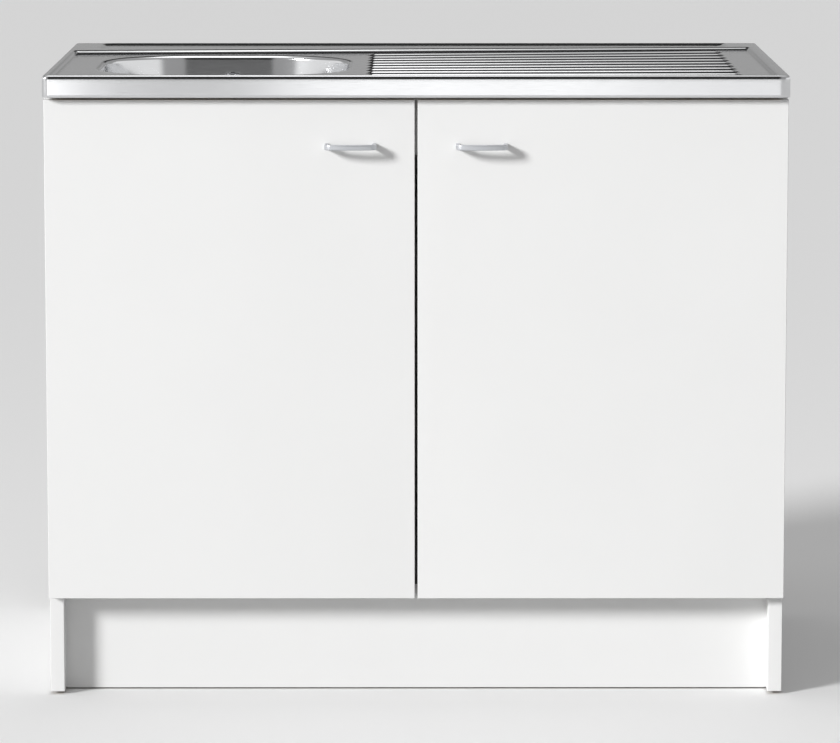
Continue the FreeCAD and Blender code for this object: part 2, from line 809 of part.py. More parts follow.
def basket_strainer():
    """Loose strainer basket with a knob, standing on the dish."""
    r = waste_dish_radius - waste_wall - fit_clearance
    w = basket_wall
    low = dish_bottom_z + waste_wall + screw_head_height + fit_clearance
    top = bowl_floor_z + waste_rim_thickness - basket_top_drop
    inner_bevel = basket_bevel + w / 3
    profile = [(axis_gap, low), (r - basket_bevel, low), (r, low + basket_bevel), (r, top), (r - w, top),
               (r - w, low + inner_bevel), (r - inner_bevel, low + w), (basket_stem_radius, low + w),
               (basket_stem_radius, top - knob_under), (knob_radius, top), (knob_radius, top + knob_side),
               (axis_gap, top + knob_side + knob_dome)]
    basket = revolved(profile, axis)
    for spot in ring_spots(basket_hole_count, basket_hole_circle, low - cut_margin):
        basket = basket.cut(rod(basket_hole_radius, w + 2 * cut_margin, spot))
    return basket


def trap_nut():
    """Union nut between the waste's tail and the trap's inlet pipe."""
    top = tail_end_z + nut_grip
    low = top - nut_height
    bore = tail_radius + fit_clearance
    nut = revolved([(bore, low), (nut_radius, low), (nut_radius, top), (bore, top)], axis)
    for spot in ring_spots(nut_notch_count, nut_radius + nut_notch_out, low):
        nut = nut.cut(rod(nut_notch_radius, nut_height, spot))
    return nut


def trap_inlet():
    """Pipe from the waste's tail down into the trap body."""
    top = tail_end_z - fit_clearance
    low = trap_top_z - trap_inlet_length
    return revolved([(tail_bore, low), (tail_radius, low), (tail_radius, top), (tail_bore, top)], axis)


def trap_body():
    """Bottle trap's upper part with the side outlet socket."""
    w = trap_wall
    low = trap_top_z - trap_height
    neck = tail_radius + thread_clearance
    shoulder = trap_top_z - trap_shoulder_drop
    shell = revolved([(neck, trap_top_z), (trap_shoulder_radius, trap_top_z), (trap_radius, shoulder),
                      (trap_radius, low), (trap_radius - w, low), (trap_radius - w, shoulder - w),
                      (neck, trap_top_z - trap_neck_depth)], axis)
    start = V(bowl_x, bowl_y + trap_radius - w - socket_sink, outlet_z)
    socket = rod(outlet_radius + w, socket_length, start, V(0, 1, 0))
    barrel = rod(trap_radius - w, trap_height, V(bowl_x, bowl_y, low))
    shell = shell.fuse(socket.cut(barrel))
    return shell.cut(rod(outlet_radius + push_clearance, 2 * socket_length,
                         V(bowl_x, bowl_y + tail_radius, outlet_z), V(0, 1, 0)))


def trap_cup():
    """Screw-off cup that catches what the trap holds back."""
    w = trap_wall
    joint = trap_top_z - trap_height + trap_thread_length
    low = joint - trap_cup_height
    thread = trap_radius + thread_clearance
    seat = joint - trap_thread_length - fit_clearance
    profile = [(axis_gap, low), (trap_radius - trap_cup_foot_inset, low),
               (trap_cup_radius, low + trap_cup_bevel), (trap_cup_radius, joint), (thread, joint),
               (thread, seat), (trap_radius - w, seat), (trap_radius - w, low + trap_cup_rise),
               (trap_radius - trap_cup_hollow_inset, low + w), (axis_gap, low + w)]
    cup = revolved(profile, axis)
    for spot in ring_spots(cup_notch_count, trap_cup_radius + cup_notch_out, low + trap_cup_bevel):
        cup = cup.cut(rod(cup_notch_radius, trap_cup_height, spot))
    return cup


def outlet_pipe():
    """Pipe from the trap to the wall connection, through the back, with its insertion mark."""
    start = V(bowl_x, bowl_y + trap_radius + outlet_seat, outlet_z)
    length = sink_depth - start.y
    pipe = rod(outlet_radius, length, start, V(0, 1, 0))
    mark_y = sink_depth - outlet_mark_from_end - outlet_mark_width
    mark = rod(outlet_radius + cut_margin, outlet_mark_width, V(bowl_x, mark_y, outlet_z), V(0, 1, 0))
    mark = mark.cut(rod(outlet_radius - outlet_mark_depth, outlet_mark_width,
                        V(bowl_x, mark_y, outlet_z), V(0, 1, 0)))
    return pipe.cut(mark).cut(rod(outlet_bore, length, start, V(0, 1, 0)))


def outlet_nut():
    """Union nut over the trap's outlet socket."""
    socket_end = bowl_y + trap_radius - trap_wall - socket_sink + socket_length
    start = V(bowl_x, socket_end - outlet_nut_thread, outlet_z)
    thread = outlet_radius + trap_wall + thread_clearance
    ring = rod(outlet_radius + trap_wall + outlet_nut_wall, outlet_nut_length, start, V(0, 1, 0))
    ring = ring.cut(rod(thread, outlet_nut_thread + thread_clearance, start, V(0, 1, 0)))
    return ring.cut(rod(outlet_radius + thread_clearance, outlet_nut_length, start, V(0, 1, 0)))


# ---------------------------------------------------------------- overflow
def overflow_rosette():
    """Slotted cover on the inner side of the bowl's back wall."""
    y = overflow_y
    plate = rod(rosette_radius, 2 * rosette_neck_length, V(bowl_x, y - rosette_neck_length, overflow_z),
                V(0, 1, 0))
    inner = bowl_loft(0.0, bowl_rim_z, bowl_floor_z)
    shell = bowl_loft(rosette_thickness, bowl_rim_z, bowl_floor_z)
    plate = plate.common(inner).cut(shell)
    neck_radius = overflow_bore - fit_clearance
    neck = rod(neck_radius, rosette_neck_length, V(bowl_x, y - sheet / 2, overflow_z), V(0, 1, 0))
    neck = neck.cut(shell).cut(rod(neck_radius - rosette_neck_wall, 2 * rosette_neck_length,
                                   V(bowl_x, y - sheet, overflow_z), V(0, 1, 0)))
    plate = plate.fuse(neck)
    reach = 2 * rosette_neck_length
    for step in (-1, 0, 1):
        z = overflow_z + step * rosette_slot_pitch
        slot = box(bowl_x - rosette_slot_half_length, bowl_x + rosette_slot_half_length,
                   y - reach, y + reach, z - rosette_slot_half_height, z + rosette_slot_half_height)
        plate = plate.cut(slot)
    return plate.removeSplitter()


def overflow_elbow():
    """Moulded elbow behind the bowl that takes the overflow down."""
    wall = elbow_wall
    length = tube_y + spout_inset + wall - overflow_y
    cup = rod(elbow_radius, length + wall, V(bowl_x, overflow_y - wall, overflow_z), V(0, 1, 0))
    low = overflow_z - elbow_drop
    spout = rod(tube_radius + wall, elbow_drop, V(bowl_x, tube_y, low))
    hollow = rod(elbow_radius - wall, length, V(bowl_x, overflow_y - wall, overflow_z), V(0, 1, 0))
    socket = rod(tube_radius + push_clearance, elbow_socket, V(bowl_x, tube_y, low))
    passage = rod(tube_bore, elbow_drop, V(bowl_x, tube_y, low))
    solid = cup.fuse(spout).cut(hollow).cut(socket).cut(passage)
    return solid.cut(bowl_loft(-sheet, bowl_rim_z, floor_under_z)).removeSplitter()


def overflow_tube():
    """Moulded tube from the elbow down and forward to the waste's port."""
    top = V(bowl_x, tube_y, overflow_z - tube_top_drop)
    end = V(bowl_x, bowl_y + body_radius + port_length, port_z)
    r = tube_bend
    k = r * (1 - math.sqrt(0.5))
    first = V(bowl_x, tube_y, port_z + r)
    middle = V(bowl_x, tube_y - k, port_z + k)
    last = V(bowl_x, tube_y - r, port_z)
    path = Part.Wire([Part.LineSegment(top, first).toShape(),
                      Part.Arc(first, middle, last).toShape(),
                      Part.LineSegment(last, end).toShape()])
    skins = []
    for radius in (tube_radius, tube_bore):
        ring = Part.Wire([Part.Circle(top, V(0, 0, -1), radius).toShape()])
        skins.append(path.makePipeShell([ring], True, False))
    return skins[0].cut(skins[1])


# ---------------------------------------------------------------- hinges
def hinge_plate(z):
    """Wing plate screwed to the side panel's inner face."""
    x0 = -inner_half
    y = front_y + plate_setback
    plate = box(x0, x0 + plate_sheet, y - plate_half_depth, y + plate_half_depth,
                z - plate_half_height, z + plate_half_height)
    upright = [edge for edge in plate.Edges
               if edge.BoundBox.XLength > plate_sheet - edge_tolerance]
    plate = plate.makeFillet(plate_corner, upright)
    for spot in plate_screw_spots(z):
        plate = plate.cut(rod(wood_screw_shank, plate_sheet + 2 * cut_margin,
                              V(x0 - cut_margin, spot.y, spot.z), V(1, 0, 0)))
    return plate


def plate_screw_spots(z):
    """Screw axes of one hinge on the side panel's inner face: two wings and the arm."""
    y = front_y + plate_setback
    return (V(-inner_half, y, z - plate_screw_spread), V(-inner_half, y, z + plate_screw_spread),
            V(-inner_half, y, z))


def hinge_arm(z):
    """Bent arm: eye round the pin, a run inside the cup, a bend, and a flanged run on the plate."""
    t = arm_sheet
    half = arm_half_width
    low = pivot.y - arm_drop
    leg_x = -inner_half + plate_sheet + t / 2
    centre = V(leg_x - arm_bend, low + arm_bend, z - half)
    run = box(pivot.x, centre.x, low - t / 2, low + t / 2, z - half, z + half)
    outer = rod(arm_bend + t / 2, 2 * half, centre)
    inner = rod(arm_bend - t / 2, 2 * half, centre)
    corner = box(centre.x, centre.x + arm_bend + t, centre.y - arm_bend - t, centre.y,
                 z - half, z + half)
    bend = outer.cut(inner).common(corner)
    leg = box(leg_x - t / 2, leg_x + t / 2, centre.y, front_y + arm_end, z - half, z + half)
    eye = rod(eye_radius, 2 * half, V(pivot.x, pivot.y, z - half))
    arm = run.multiFuse([bend, leg, eye])
    for cheek_z in (z - half, z + half - arm_cheek_sheet):
        cheek = box(leg_x - t / 2, leg_x + arm_cheek_height, front_y + arm_cheek_start,
                    front_y + arm_end, cheek_z, cheek_z + arm_cheek_sheet)
        arm = arm.fuse(cheek)
    arm = arm.cut(rod(pin_radius + pin_running_clearance, 2 * half, V(pivot.x, pivot.y, z - half)))
    seat = V(leg_x - t, front_y + plate_setback, z)
    return arm.cut(rod(wood_screw_shank, 2 * t, seat, V(1, 0, 0))).removeSplitter()


def cup_blank(z, radius, depth):
    """Round plug shape of a hinge cup, from the door's back face inwards."""
    return rod(radius, depth, V(cup_centre_x, door_back_y, z), V(0, -1, 0))


def hinge_cup(z):
    """Die-cast cup with its screw flange, the slot for the arm and the pin's seats."""
    cup = cup_blank(z, cup_bore_radius - cup_clearance, cup_depth)
    edge = -carcass_half
    flange = rounded_prism(edge + cup_flange_start, edge + cup_flange_end,
                           z - cup_flange_half_height, z + cup_flange_half_height,
                           0, cup_flange, cup_flange_corner)
    flange.rotate(V(0, 0, 0), V(1, 0, 0), 90)
    flange.translate(V(0, door_back_y + cup_flange, 0))
    half = arm_half_width + arm_side_clearance
    slot = box(pivot.x - eye_radius - fit_clearance, edge + cup_flange_end - cup_slot_end,
               door_back_y - cup_depth + cup_floor, door_back_y + cup_flange + cut_margin,
               z - half, z + half)
    solid = cup.fuse(flange).cut(slot)
    solid = solid.cut(rod(pin_radius + pin_seat_clearance, 2 * pin_half_length,
                          V(pivot.x, pivot.y, z - pin_half_length)))
    for spot in cup_screw_spots(z):
        solid = solid.cut(rod(wood_screw_shank, cup_flange + 2 * cut_margin,
                              spot + V(0, cut_margin, 0), V(0, -1, 0)))
    return solid.removeSplitter()


def cup_screw_spots(z):
    """Head seats of the two screws of a cup."""
    x = -carcass_half + cup_screw_edge
    y = door_back_y + cup_flange
    return (V(x, y, z - cup_screw_spread), V(x, y, z + cup_screw_spread))


def hinge_pin(z):
    """Steel pin across the cup, the axis on which the door turns."""
    return rod(pin_radius, 2 * pin_half_length, V(pivot.x, pivot.y, z - pin_half_length))


def cup_screws():
    """Screws that hold the left door's cups."""
    return group([wood_screw(V(0, -1, 0), spot, length=cup_screw_length)
                  for z in hinge_heights for spot in cup_screw_spots(z)])


def plate_screws():
    """Screws of the left side's hinge plates and arms."""
    screws = []
    for z in hinge_heights:
        wings = plate_screw_spots(z)
        for spot in wings[:2]:
            screws.append(wood_screw(V(-1, 0, 0), spot + V(plate_sheet, 0, 0)))
        seat = wings[2] + V(plate_sheet + arm_sheet, 0, 0)
        screws.append(wood_screw(V(-1, 0, 0), seat, length=wood_screw_length + arm_sheet))
    return screws


# ---------------------------------------------------------------- doors
def door():
    """Left door with bores for the cups and holes for the handle."""
    x0 = -carcass_half
    panel = box(x0, x0 + door_width, door_front_y, door_back_y, door_bottom, door_top)
    panel = banded(banded(panel, door_front_y), door_back_y)
    for z in hinge_heights:
        panel = panel.cut(cup_blank(z, cup_bore_radius, cup_depth + cup_clearance))
    panel = cut_for_screws(panel, cup_screws())
    for spot in handle_screw_spots():
        panel = panel.cut(rod(handle_screw_radius + fit_clearance, door_thickness, spot, V(0, -1, 0)))
    return panel


def handle_screw_spots():
    """Handle screw axes on the left door's back face."""
    half = handle_hole_distance / 2
    return (V(-handle_x - half, door_back_y, handle_z), V(-handle_x + half, door_back_y, handle_z))


def handle_path():
    """Middle line of the handle: legs, corners and the outward bow, all tangent."""
    half = handle_hole_distance / 2
    rc = handle_corner
    crest = door_front_y - handle_projection + handle_bar / 2
    rb = (half ** 2 + handle_bow ** 2) / (2 * handle_bow)
    bow_y = crest + rb
    corner_x = half - rc
    corner_y = bow_y - math.sqrt((rb - rc) ** 2 - corner_x ** 2)
    share = rb / (rb - rc)
    touch = (corner_x * share, bow_y + (corner_y - bow_y) * share)
    turn = math.atan2(touch[1] - corner_y, touch[0] - corner_x) / 2
    middle = (corner_x + rc * math.cos(turn), corner_y + rc * math.sin(turn))

    def at(x, y):
        return V(-handle_x + x, y, handle_z)

    return Part.Wire([
        Part.LineSegment(at(-half, door_front_y), at(-half, corner_y)).toShape(),
        Part.Arc(at(-half, corner_y), at(-middle[0], middle[1]), at(-touch[0], touch[1])).toShape(),
        Part.Arc(at(-touch[0], touch[1]), at(0, crest), at(touch[0], touch[1])).toShape(),
        Part.Arc(at(touch[0], touch[1]), at(middle[0], middle[1]), at(half, corner_y)).toShape(),
        Part.LineSegment(at(half, corner_y), at(half, door_front_y)).toShape(),
    ])


def handle():
    """Bow handle of the left door: a bar with rounded edges carried along its middle line."""
    x = -handle_x - handle_hole_distance / 2
    section = rounded_wire(x - handle_bar / 2, x + handle_bar / 2,
                           handle_z - handle_height / 2, handle_z + handle_height / 2,
                           0, handle_fillet)
    section.rotate(V(0, 0, 0), V(1, 0, 0), 90)
    section.translate(V(0, door_front_y, 0))
    solid = handle_path().makePipeShell([section], True, False)
    for spot in handle_screw_spots():
        solid = solid.cut(rod(handle_screw_radius, handle_screw_bite,
                              V(spot.x, door_front_y, spot.z), V(0, -1, 0)))
    return solid


def handle_screws():
    """Two machine screws from the door's back into the handle."""
    pieces = []
    for spot in handle_screw_spots():
        head = rod(handle_screw_head, handle_screw_head_thickness, spot, V(0, 1, 0))
        shank = rod(handle_screw_radius, door_thickness + handle_screw_bite, spot, V(0, -1, 0))
        pieces.append(head.fuse(shank).removeSplitter())
    return group(pieces)


def door_bumpers():
    """Soft discs on the left door's back, near its free edge."""
    x = -carcass_half + door_width - bumper_inset
    thickness = door_gap - bumper_clearance
    heights = (door_bottom + bumper_bottom_rise, door_top - bumper_top_drop)
    return group([rod(bumper_radius, thickness, V(x, door_back_y, z), V(0, 1, 0)) for z in heights])


def strike_plate():
    """Steel plate on the left door's back that the magnet holds."""
    z = carcass_top - top_rail_height - catch_height / 2
    return box(-catch_x - strike_width / 2, -catch_x + strike_width / 2,
               door_back_y, door_back_y + strike_thickness,
               z - strike_height / 2, z + strike_height / 2)


def catch_magnets():
    """Two magnet housings under the front rail, one for each door."""
    top = carcass_top - top_rail_height
    body = box(-catch_x - catch_width / 2, -catch_x + catch_width / 2,
               front_y - catch_step, front_y - catch_step + catch_depth, top - catch_height, top)
    upright = [edge for edge in body.Edges if edge.BoundBox.ZLength > catch_height - edge_tolerance]
    body = body.makeFillet(catch_corner, upright)
    return group([body, mirrored(body)])


# ---------------------------------------------------------------- build
left_plate_screws = group(plate_screws())
brackets_screws = bracket_screws()

left_panel = cut_for_screws(side_panel(), left_plate_screws)
left_panel = cut_for_screws(left_panel, brackets_screws)
keep("left_side_panel", left_panel)
keep("right_side_panel", mirrored(left_panel))
keep("bottom_panel", bottom_panel())
keep("front_top_rail", front_top_rail())
keep("rear_top_rail", rear_top_rail())
keep("back_panel", back_panel())
keep("kick_board", kick_board())
keep("kick_board_brackets", kick_brackets())
keep("floor_glides", floor_glides())
keep("assembly_screws", assembly_screws())

keep("sink_deck", sink_deck())
keep("sink_bowl", sink_bowl())
keep("support_battens", group([cut_for_screws(piece, brackets_screws)
                               for piece in support_battens().Solids]))
keep("sink_brackets", sink_brackets())
keep("sink_bracket_screws", brackets_screws)

keep("waste_flange", waste_flange())
keep("waste_gasket", waste_gasket())
keep("waste_body", waste_body())
keep("waste_screw", waste_screw())
keep("basket_strainer", basket_strainer())
keep("overflow_rosette", overflow_rosette())
keep("overflow_elbow", overflow_elbow())
keep("overflow_tube", overflow_tube())
keep("trap_inlet_nut", trap_nut())
keep("trap_inlet_pipe", trap_inlet())
keep("trap_body", trap_body())
keep("trap_cup", trap_cup())
keep("trap_outlet_nut", outlet_nut())
keep("outlet_pipe", outlet_pipe())

for level, height in zip(("lower", "upper"), hinge_heights):
    for piece, maker in (("plate", hinge_plate), ("arm", hinge_arm),
                         ("cup", hinge_cup), ("pin", hinge_pin)):
        solid = maker(height)
        keep("left_" + level + "_hinge_" + piece, solid)
        keep("right_" + level + "_hinge_" + piece, mirrored(solid))
keep("hinge_plate_screws", group([left_plate_screws, mirrored(left_plate_screws)]))

for side, turn in (("left", lambda shape: shape), ("right", mirrored)):
    keep(side + "_door", turn(door()))
    keep(side + "_hinge_cup_screws", turn(cup_screws()))
    keep(side + "_handle", turn(handle()))
    keep(side + "_handle_screws", turn(handle_screws()))
    keep(side + "_door_bumpers", turn(door_bumpers()))
    keep(side + "_strike_plate", turn(strike_plate()))
keep("catch_magnets", catch_magnets())

for name, shape in nodes.items():
    shape.exportStep("parts/" + name + ".step")
    print(name, len(shape.Solids), round(sum(s.Volume for s in shape.Solids)), shape.isValid())
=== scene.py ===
"""Looks of a kitchen sink unit: a pressed steel sink top on a white two-door base cabinet."""
import logging
import math
from dataclasses import dataclass
from enum import Enum

import bmesh
import bpy
import numpy as np
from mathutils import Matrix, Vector


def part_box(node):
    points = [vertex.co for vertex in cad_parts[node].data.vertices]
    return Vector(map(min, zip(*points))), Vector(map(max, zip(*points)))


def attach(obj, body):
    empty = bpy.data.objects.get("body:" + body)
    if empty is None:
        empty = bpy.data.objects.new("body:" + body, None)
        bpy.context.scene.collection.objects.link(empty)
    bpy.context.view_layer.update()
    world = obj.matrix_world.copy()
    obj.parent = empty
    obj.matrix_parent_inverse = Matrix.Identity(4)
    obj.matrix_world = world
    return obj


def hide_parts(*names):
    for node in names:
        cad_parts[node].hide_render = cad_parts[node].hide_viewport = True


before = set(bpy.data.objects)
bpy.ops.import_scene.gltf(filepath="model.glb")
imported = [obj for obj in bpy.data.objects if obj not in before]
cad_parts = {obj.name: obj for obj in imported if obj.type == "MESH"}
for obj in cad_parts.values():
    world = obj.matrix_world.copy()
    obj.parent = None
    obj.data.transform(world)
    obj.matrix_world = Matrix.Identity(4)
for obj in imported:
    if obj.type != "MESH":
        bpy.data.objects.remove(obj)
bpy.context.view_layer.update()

log = logging.getLogger("sink_unit")
Colour = tuple[float, float, float]
Place = tuple[float, float, float]
Ends = tuple[float, float]
Socket = bpy.types.NodeSocket
WELD_DISTANCE = 1e-6
REAR = (0.0, 1.0, 0.0)
UP = (0.0, 0.0, 1.0)
DOWN = (0.0, 0.0, -1.0)
CHIP_DARK = (0.34, 0.25, 0.16)
CHIP_LIGHT = (0.62, 0.50, 0.35)
# A Mix node's colour sockets go by number, because its other kinds have the same names.
MIX_SHARE = 0
MIX_COLOURS = (6, 7)
MIX_RESULT = 2


# ---------------------------------------------------------------- materials
class Grain(Enum):
    """How a pattern is drawn out along x, y and z: a small factor makes it long."""

    LENGTHWISE = (0.03, 1.0, 1.0)
    FLAKED = (0.4, 1.0, 1.0)
    EVEN = (1.0, 1.0, 1.0)


def shaded(colour: Colour, factor: float) -> Colour:
    """A colour made darker or lighter by a factor, white at most."""
    return tuple(min(1.0, part * factor) for part in colour)


class NodeSheet:
    """A node tree, with short calls for the nodes that the finishes and the studio share."""

    def __init__(self, tree: bpy.types.NodeTree) -> None:
        """Work in a node tree."""
        self.tree = tree
        self.nodes = tree.nodes

    def link(self, source: Socket, target: Socket) -> None:
        """Join two sockets."""
        self.tree.links.new(source, target)

    def math(self, operation: str, first: Socket, second: Socket | float | None = None) -> Socket:
        """Arithmetic on one or two values.

        Args:
            operation: what to work out.
            first: a value.
            second: another value or a steady number, where the operation takes two.

        Returns:
            The socket of the result.
        """
        node = self.nodes.new("ShaderNodeMath")
        node.operation = operation
        self.link(first, node.inputs[0])
        if isinstance(second, Socket):
            self.link(second, node.inputs[1])
        elif second is not None:
            node.inputs[1].default_value = second
        return node.outputs[0]

    def mapped(self, value: Socket, source: Ends, result: Ends, eased: bool = False) -> Socket:
        """A value carried from one range to another, and held at its ends.

        Args:
            value: what to carry.
            source: low and high end of its range.
            result: what it becomes at those ends.
            eased: level at both ends, instead of straight.

        Returns:
            The socket of the new value.
        """
        node = self.nodes.new("ShaderNodeMapRange")
        if eased:
            node.interpolation_type = "SMOOTHSTEP"
        for label, number in zip(("From Min", "From Max", "To Min", "To Max"), (*source, *result)):
            node.inputs[label].default_value = number
        self.link(value, node.inputs["Value"])
        return node.outputs[0]

    def blend(self, share: Socket, low: Socket | Colour, high: Socket | Colour) -> Socket:
        """Colour between two, by a share from 0 to 1.

        Args:
            share: the mixing value.
            low: colour at 0.
            high: colour at 1.

        Returns:
            The socket of the mixed colour.
        """
        node = self.nodes.new("ShaderNodeMix")
        node.data_type = "RGBA"
        self.link(share, node.inputs[MIX_SHARE])
        for number, colour in zip(MIX_COLOURS, (low, high)):
            if isinstance(colour, Socket):
                self.link(colour, node.inputs[number])
            else:
                node.inputs[number].default_value = (*colour, 1.0)
        return node.outputs[MIX_RESULT]


class Surface(NodeSheet):
    """A material's nodes, which all lead to its one shader."""

    noise_ends: Ends = (0.3, 0.7)

    def __init__(self, name: str) -> None:
        """Start a material that holds its shader and output only."""
        self.material = bpy.data.materials.new(name)
        self.material.use_nodes = True
        super().__init__(self.material.node_tree)
        self.shader = self.nodes["Principled BSDF"]

    def coordinates(self, grain: Grain) -> Socket:
        """Object coordinates, scaled along each axis.

        Args:
            grain: how the pattern is drawn out.

        Returns:
            The socket of the scaled vector.
        """
        place = self.nodes.new("ShaderNodeTexCoord")
        scale = self.nodes.new("ShaderNodeVectorMath")
        scale.operation = "MULTIPLY"
        scale.inputs[1].default_value = grain.value
        self.link(place.outputs["Object"], scale.inputs[0])
        return scale.outputs[0]

    def noise(self, grain: Grain, scale: float, detail: float = 3.0) -> Socket:
        """Fractal noise between 0 and 1.

        Args:
            grain: how it is drawn out.
            scale: waves per metre.
            detail: octaves.

        Returns:
            The socket of the noise value.
        """
        node = self.nodes.new("ShaderNodeTexNoise")
        node.inputs["Scale"].default_value = scale
        node.inputs["Detail"].default_value = detail
        self.link(self.coordinates(grain), node.inputs["Vector"])
        return node.outputs[0]

    def flakes(self, grain: Grain, scale: float) -> Socket:
        """Distance from the middle of the nearest flake, in flakes.

        Args:
            grain: how the flakes are drawn out.
            scale: flakes per metre.

        Returns:
            The socket of the distance.
        """
        node = self.nodes.new("ShaderNodeTexVoronoi")
        node.inputs["Scale"].default_value = scale
        self.link(self.coordinates(grain), node.inputs["Vector"])
        return node.outputs["Distance"]

    def spread(self, value: Socket, low: float, high: float) -> Socket:
        """Noise carried from the range that it mostly keeps to onto low to high."""
        return self.mapped(value, self.noise_ends, (low, high))

    def tone(self, share: Socket, low: Socket | Colour, high: Socket | Colour) -> None:
        """Give the shader a colour between two, by a share from 0 to 1."""
        self.link(self.blend(share, low, high), self.shader.inputs["Base Color"])

    def gloss(self, value: Socket, roughness: float, change: float) -> None:
        """Give the shader a roughness that wanders with a noise, by the change to either side."""
        wandering = self.spread(value, roughness - change, roughness + change)
        self.link(wandering, self.shader.inputs["Roughness"])

    def bump(self, height: Socket, depth: float, strength: float = 1.0) -> None:
        """Raise the surface by a height value.

        Args:
            height: value from 0 to 1.
            depth: metres between 0 and 1.
            strength: how much of it shows.
        """
        node = self.nodes.new("ShaderNodeBump")
        node.inputs["Distance"].default_value = depth
        node.inputs["Strength"].default_value = strength
        self.link(height, node.inputs["Height"])
        self.link(node.outputs[0], self.shader.inputs["Normal"])

    def set(self, **values: float) -> None:
        """Write steady values on the shader's own sockets, named with _ for a space."""
        for name, value in values.items():
            self.shader.inputs[name.replace("_", " ")].default_value = value


@dataclass(frozen=True)
class Finish:
    """A moulded, plated or painted surface: tone, gloss and fine relief from noise."""

    name: str
    colour: Colour
    roughness: float
    metallic: float = 0.0
    tone_change: float = 0.03
    gloss_change: float = 0.05
    patch_scale: float = 14.0
    grain_scale: float = 900.0
    grain_depth: float = 0.00004

    def build(self) -> bpy.types.Material:
        """Make the material.

        Returns:
            A node material with uneven tone and gloss, and a fine grain in the relief.
        """
        surface = Surface(self.name)
        patches = surface.noise(Grain.EVEN, self.patch_scale)
        surface.tone(surface.spread(patches, 0.0, 1.0), shaded(self.colour, 1.0 - self.tone_change),
                     shaded(self.colour, 1.0 + self.tone_change))
        surface.gloss(patches, self.roughness, self.gloss_change)
        surface.bump(surface.noise(Grain.EVEN, self.grain_scale), self.grain_depth)
        surface.set(Metallic=self.metallic)
        return surface.material


@dataclass(frozen=True)
class BrushedSteel:
    """Satin stainless steel brushed along x; its highlights stretch along its own map, if it has one."""

    name: str
    colour: Colour = (0.72, 0.725, 0.735)
    tone_change: float = 0.04
    cloud_scale: float = 9.0
    roughness: float = 0.13
    gloss_change: float = 0.03
    anisotropy: float = 0.35
    line_scale: float = 1400.0
    line_detail: float = 2.0
    line_depth: float = 0.00002
    line_strength: float = 0.35
    own_map: bool = True

    def build(self) -> bpy.types.Material:
        """Make the material.

        Returns:
            A metal whose brush lines show in its relief and gloss, and stretch its highlights.
        """
        surface = Surface(self.name)
        lines = surface.noise(Grain.LENGTHWISE, self.line_scale, self.line_detail)
        cloud = surface.spread(surface.noise(Grain.EVEN, self.cloud_scale), 0.0, 1.0)
        surface.tone(cloud, shaded(self.colour, 1.0 - self.tone_change), self.colour)
        surface.gloss(lines, self.roughness, self.gloss_change)
        surface.bump(lines, self.line_depth, self.line_strength)
        surface.set(Metallic=1.0)
        if self.own_map:
            tangent = surface.nodes.new("ShaderNodeTangent")
            tangent.direction_type = "UV_MAP"
            surface.link(tangent.outputs[0], surface.shader.inputs["Tangent"])
            surface.set(Anisotropic=self.anisotropy)
        return surface.material


@dataclass(frozen=True)
class CoatedBoard:
    """White melamine faced chipboard whose bare edges show the core."""

    name: str
    colour: Colour = (0.86, 0.86, 0.855)
    tone_change: float = 0.015
    cloud_scale: float = 5.0
    core_dark: Colour = CHIP_DARK
    core_light: Colour = CHIP_LIGHT
    chip_scale: float = 420.0
    roughness: float = 0.36
    gloss_change: float = 0.04
    peel_scale: float = 420.0
    peel_detail: float = 2.0
    peel_depth: float = 0.00005
    peel_strength: float = 0.5
    bare: tuple[Place, ...] = ()
    bare_cosine: float = 0.9

    def build(self) -> bpy.types.Material:
        """Make the material.

        Returns:
            Satin white with a faint orange peel, and chips wherever the surface faces a bare direction.
        """
        surface = Surface(self.name)
        peel = surface.noise(Grain.EVEN, self.peel_scale, self.peel_detail)
        surface.bump(peel, self.peel_depth, self.peel_strength)
        surface.gloss(peel, self.roughness, self.gloss_change)
        cloud = surface.spread(surface.noise(Grain.EVEN, self.cloud_scale), 0.0, 1.0)
        soft = shaded(self.colour, 1.0 - self.tone_change)
        if not self.bare:
            surface.tone(cloud, soft, self.colour)
            return surface.material
        chips = surface.flakes(Grain.EVEN, self.chip_scale)
        surface.tone(self._bare_share(surface), surface.blend(cloud, soft, self.colour),
                     surface.blend(chips, self.core_light, self.core_dark))
        return surface.material

    def _bare_share(self, surface: Surface) -> Socket:
        """One where the surface faces any of the bare directions, else zero.

        Args:
            surface: the material's nodes.

        Returns:
            The socket of the share.
        """
        place = surface.nodes.new("ShaderNodeTexCoord")
        share = None
        for direction in self.bare:
            dot = surface.nodes.new("ShaderNodeVectorMath")
            dot.operation = "DOT_PRODUCT"
            dot.inputs[1].default_value = direction
            surface.link(place.outputs["Normal"], dot.inputs[0])
            facing = surface.math("GREATER_THAN", dot.outputs["Value"], self.bare_cosine)
            share = facing if share is None else surface.math("MAXIMUM", share, facing)
        return share


@dataclass(frozen=True)
class RawBoard:
    """Bare wood based board: flakes or fibres of two tones."""

    name: str
    dark: Colour
    light: Colour
    flake_scale: float
    fibres_per_flake: float = 3.0
    roughness: float = 0.75
    gloss_change: float = 0.08
    relief: float = 0.0002
    relief_strength: float = 0.6

    def build(self) -> bpy.types.Material:
        """Make the material.

        Returns:
            A dull board with flakes in colour and fibres in relief.
        """
        surface = Surface(self.name)
        flakes = surface.flakes(Grain.FLAKED, self.flake_scale)
        fibre = surface.noise(Grain.LENGTHWISE, self.flake_scale * self.fibres_per_flake)
        surface.tone(surface.spread(flakes, 0.0, 1.0), self.dark, self.light)
        surface.gloss(fibre, self.roughness, self.gloss_change)
        surface.bump(fibre, self.relief, self.relief_strength)
        return surface.material


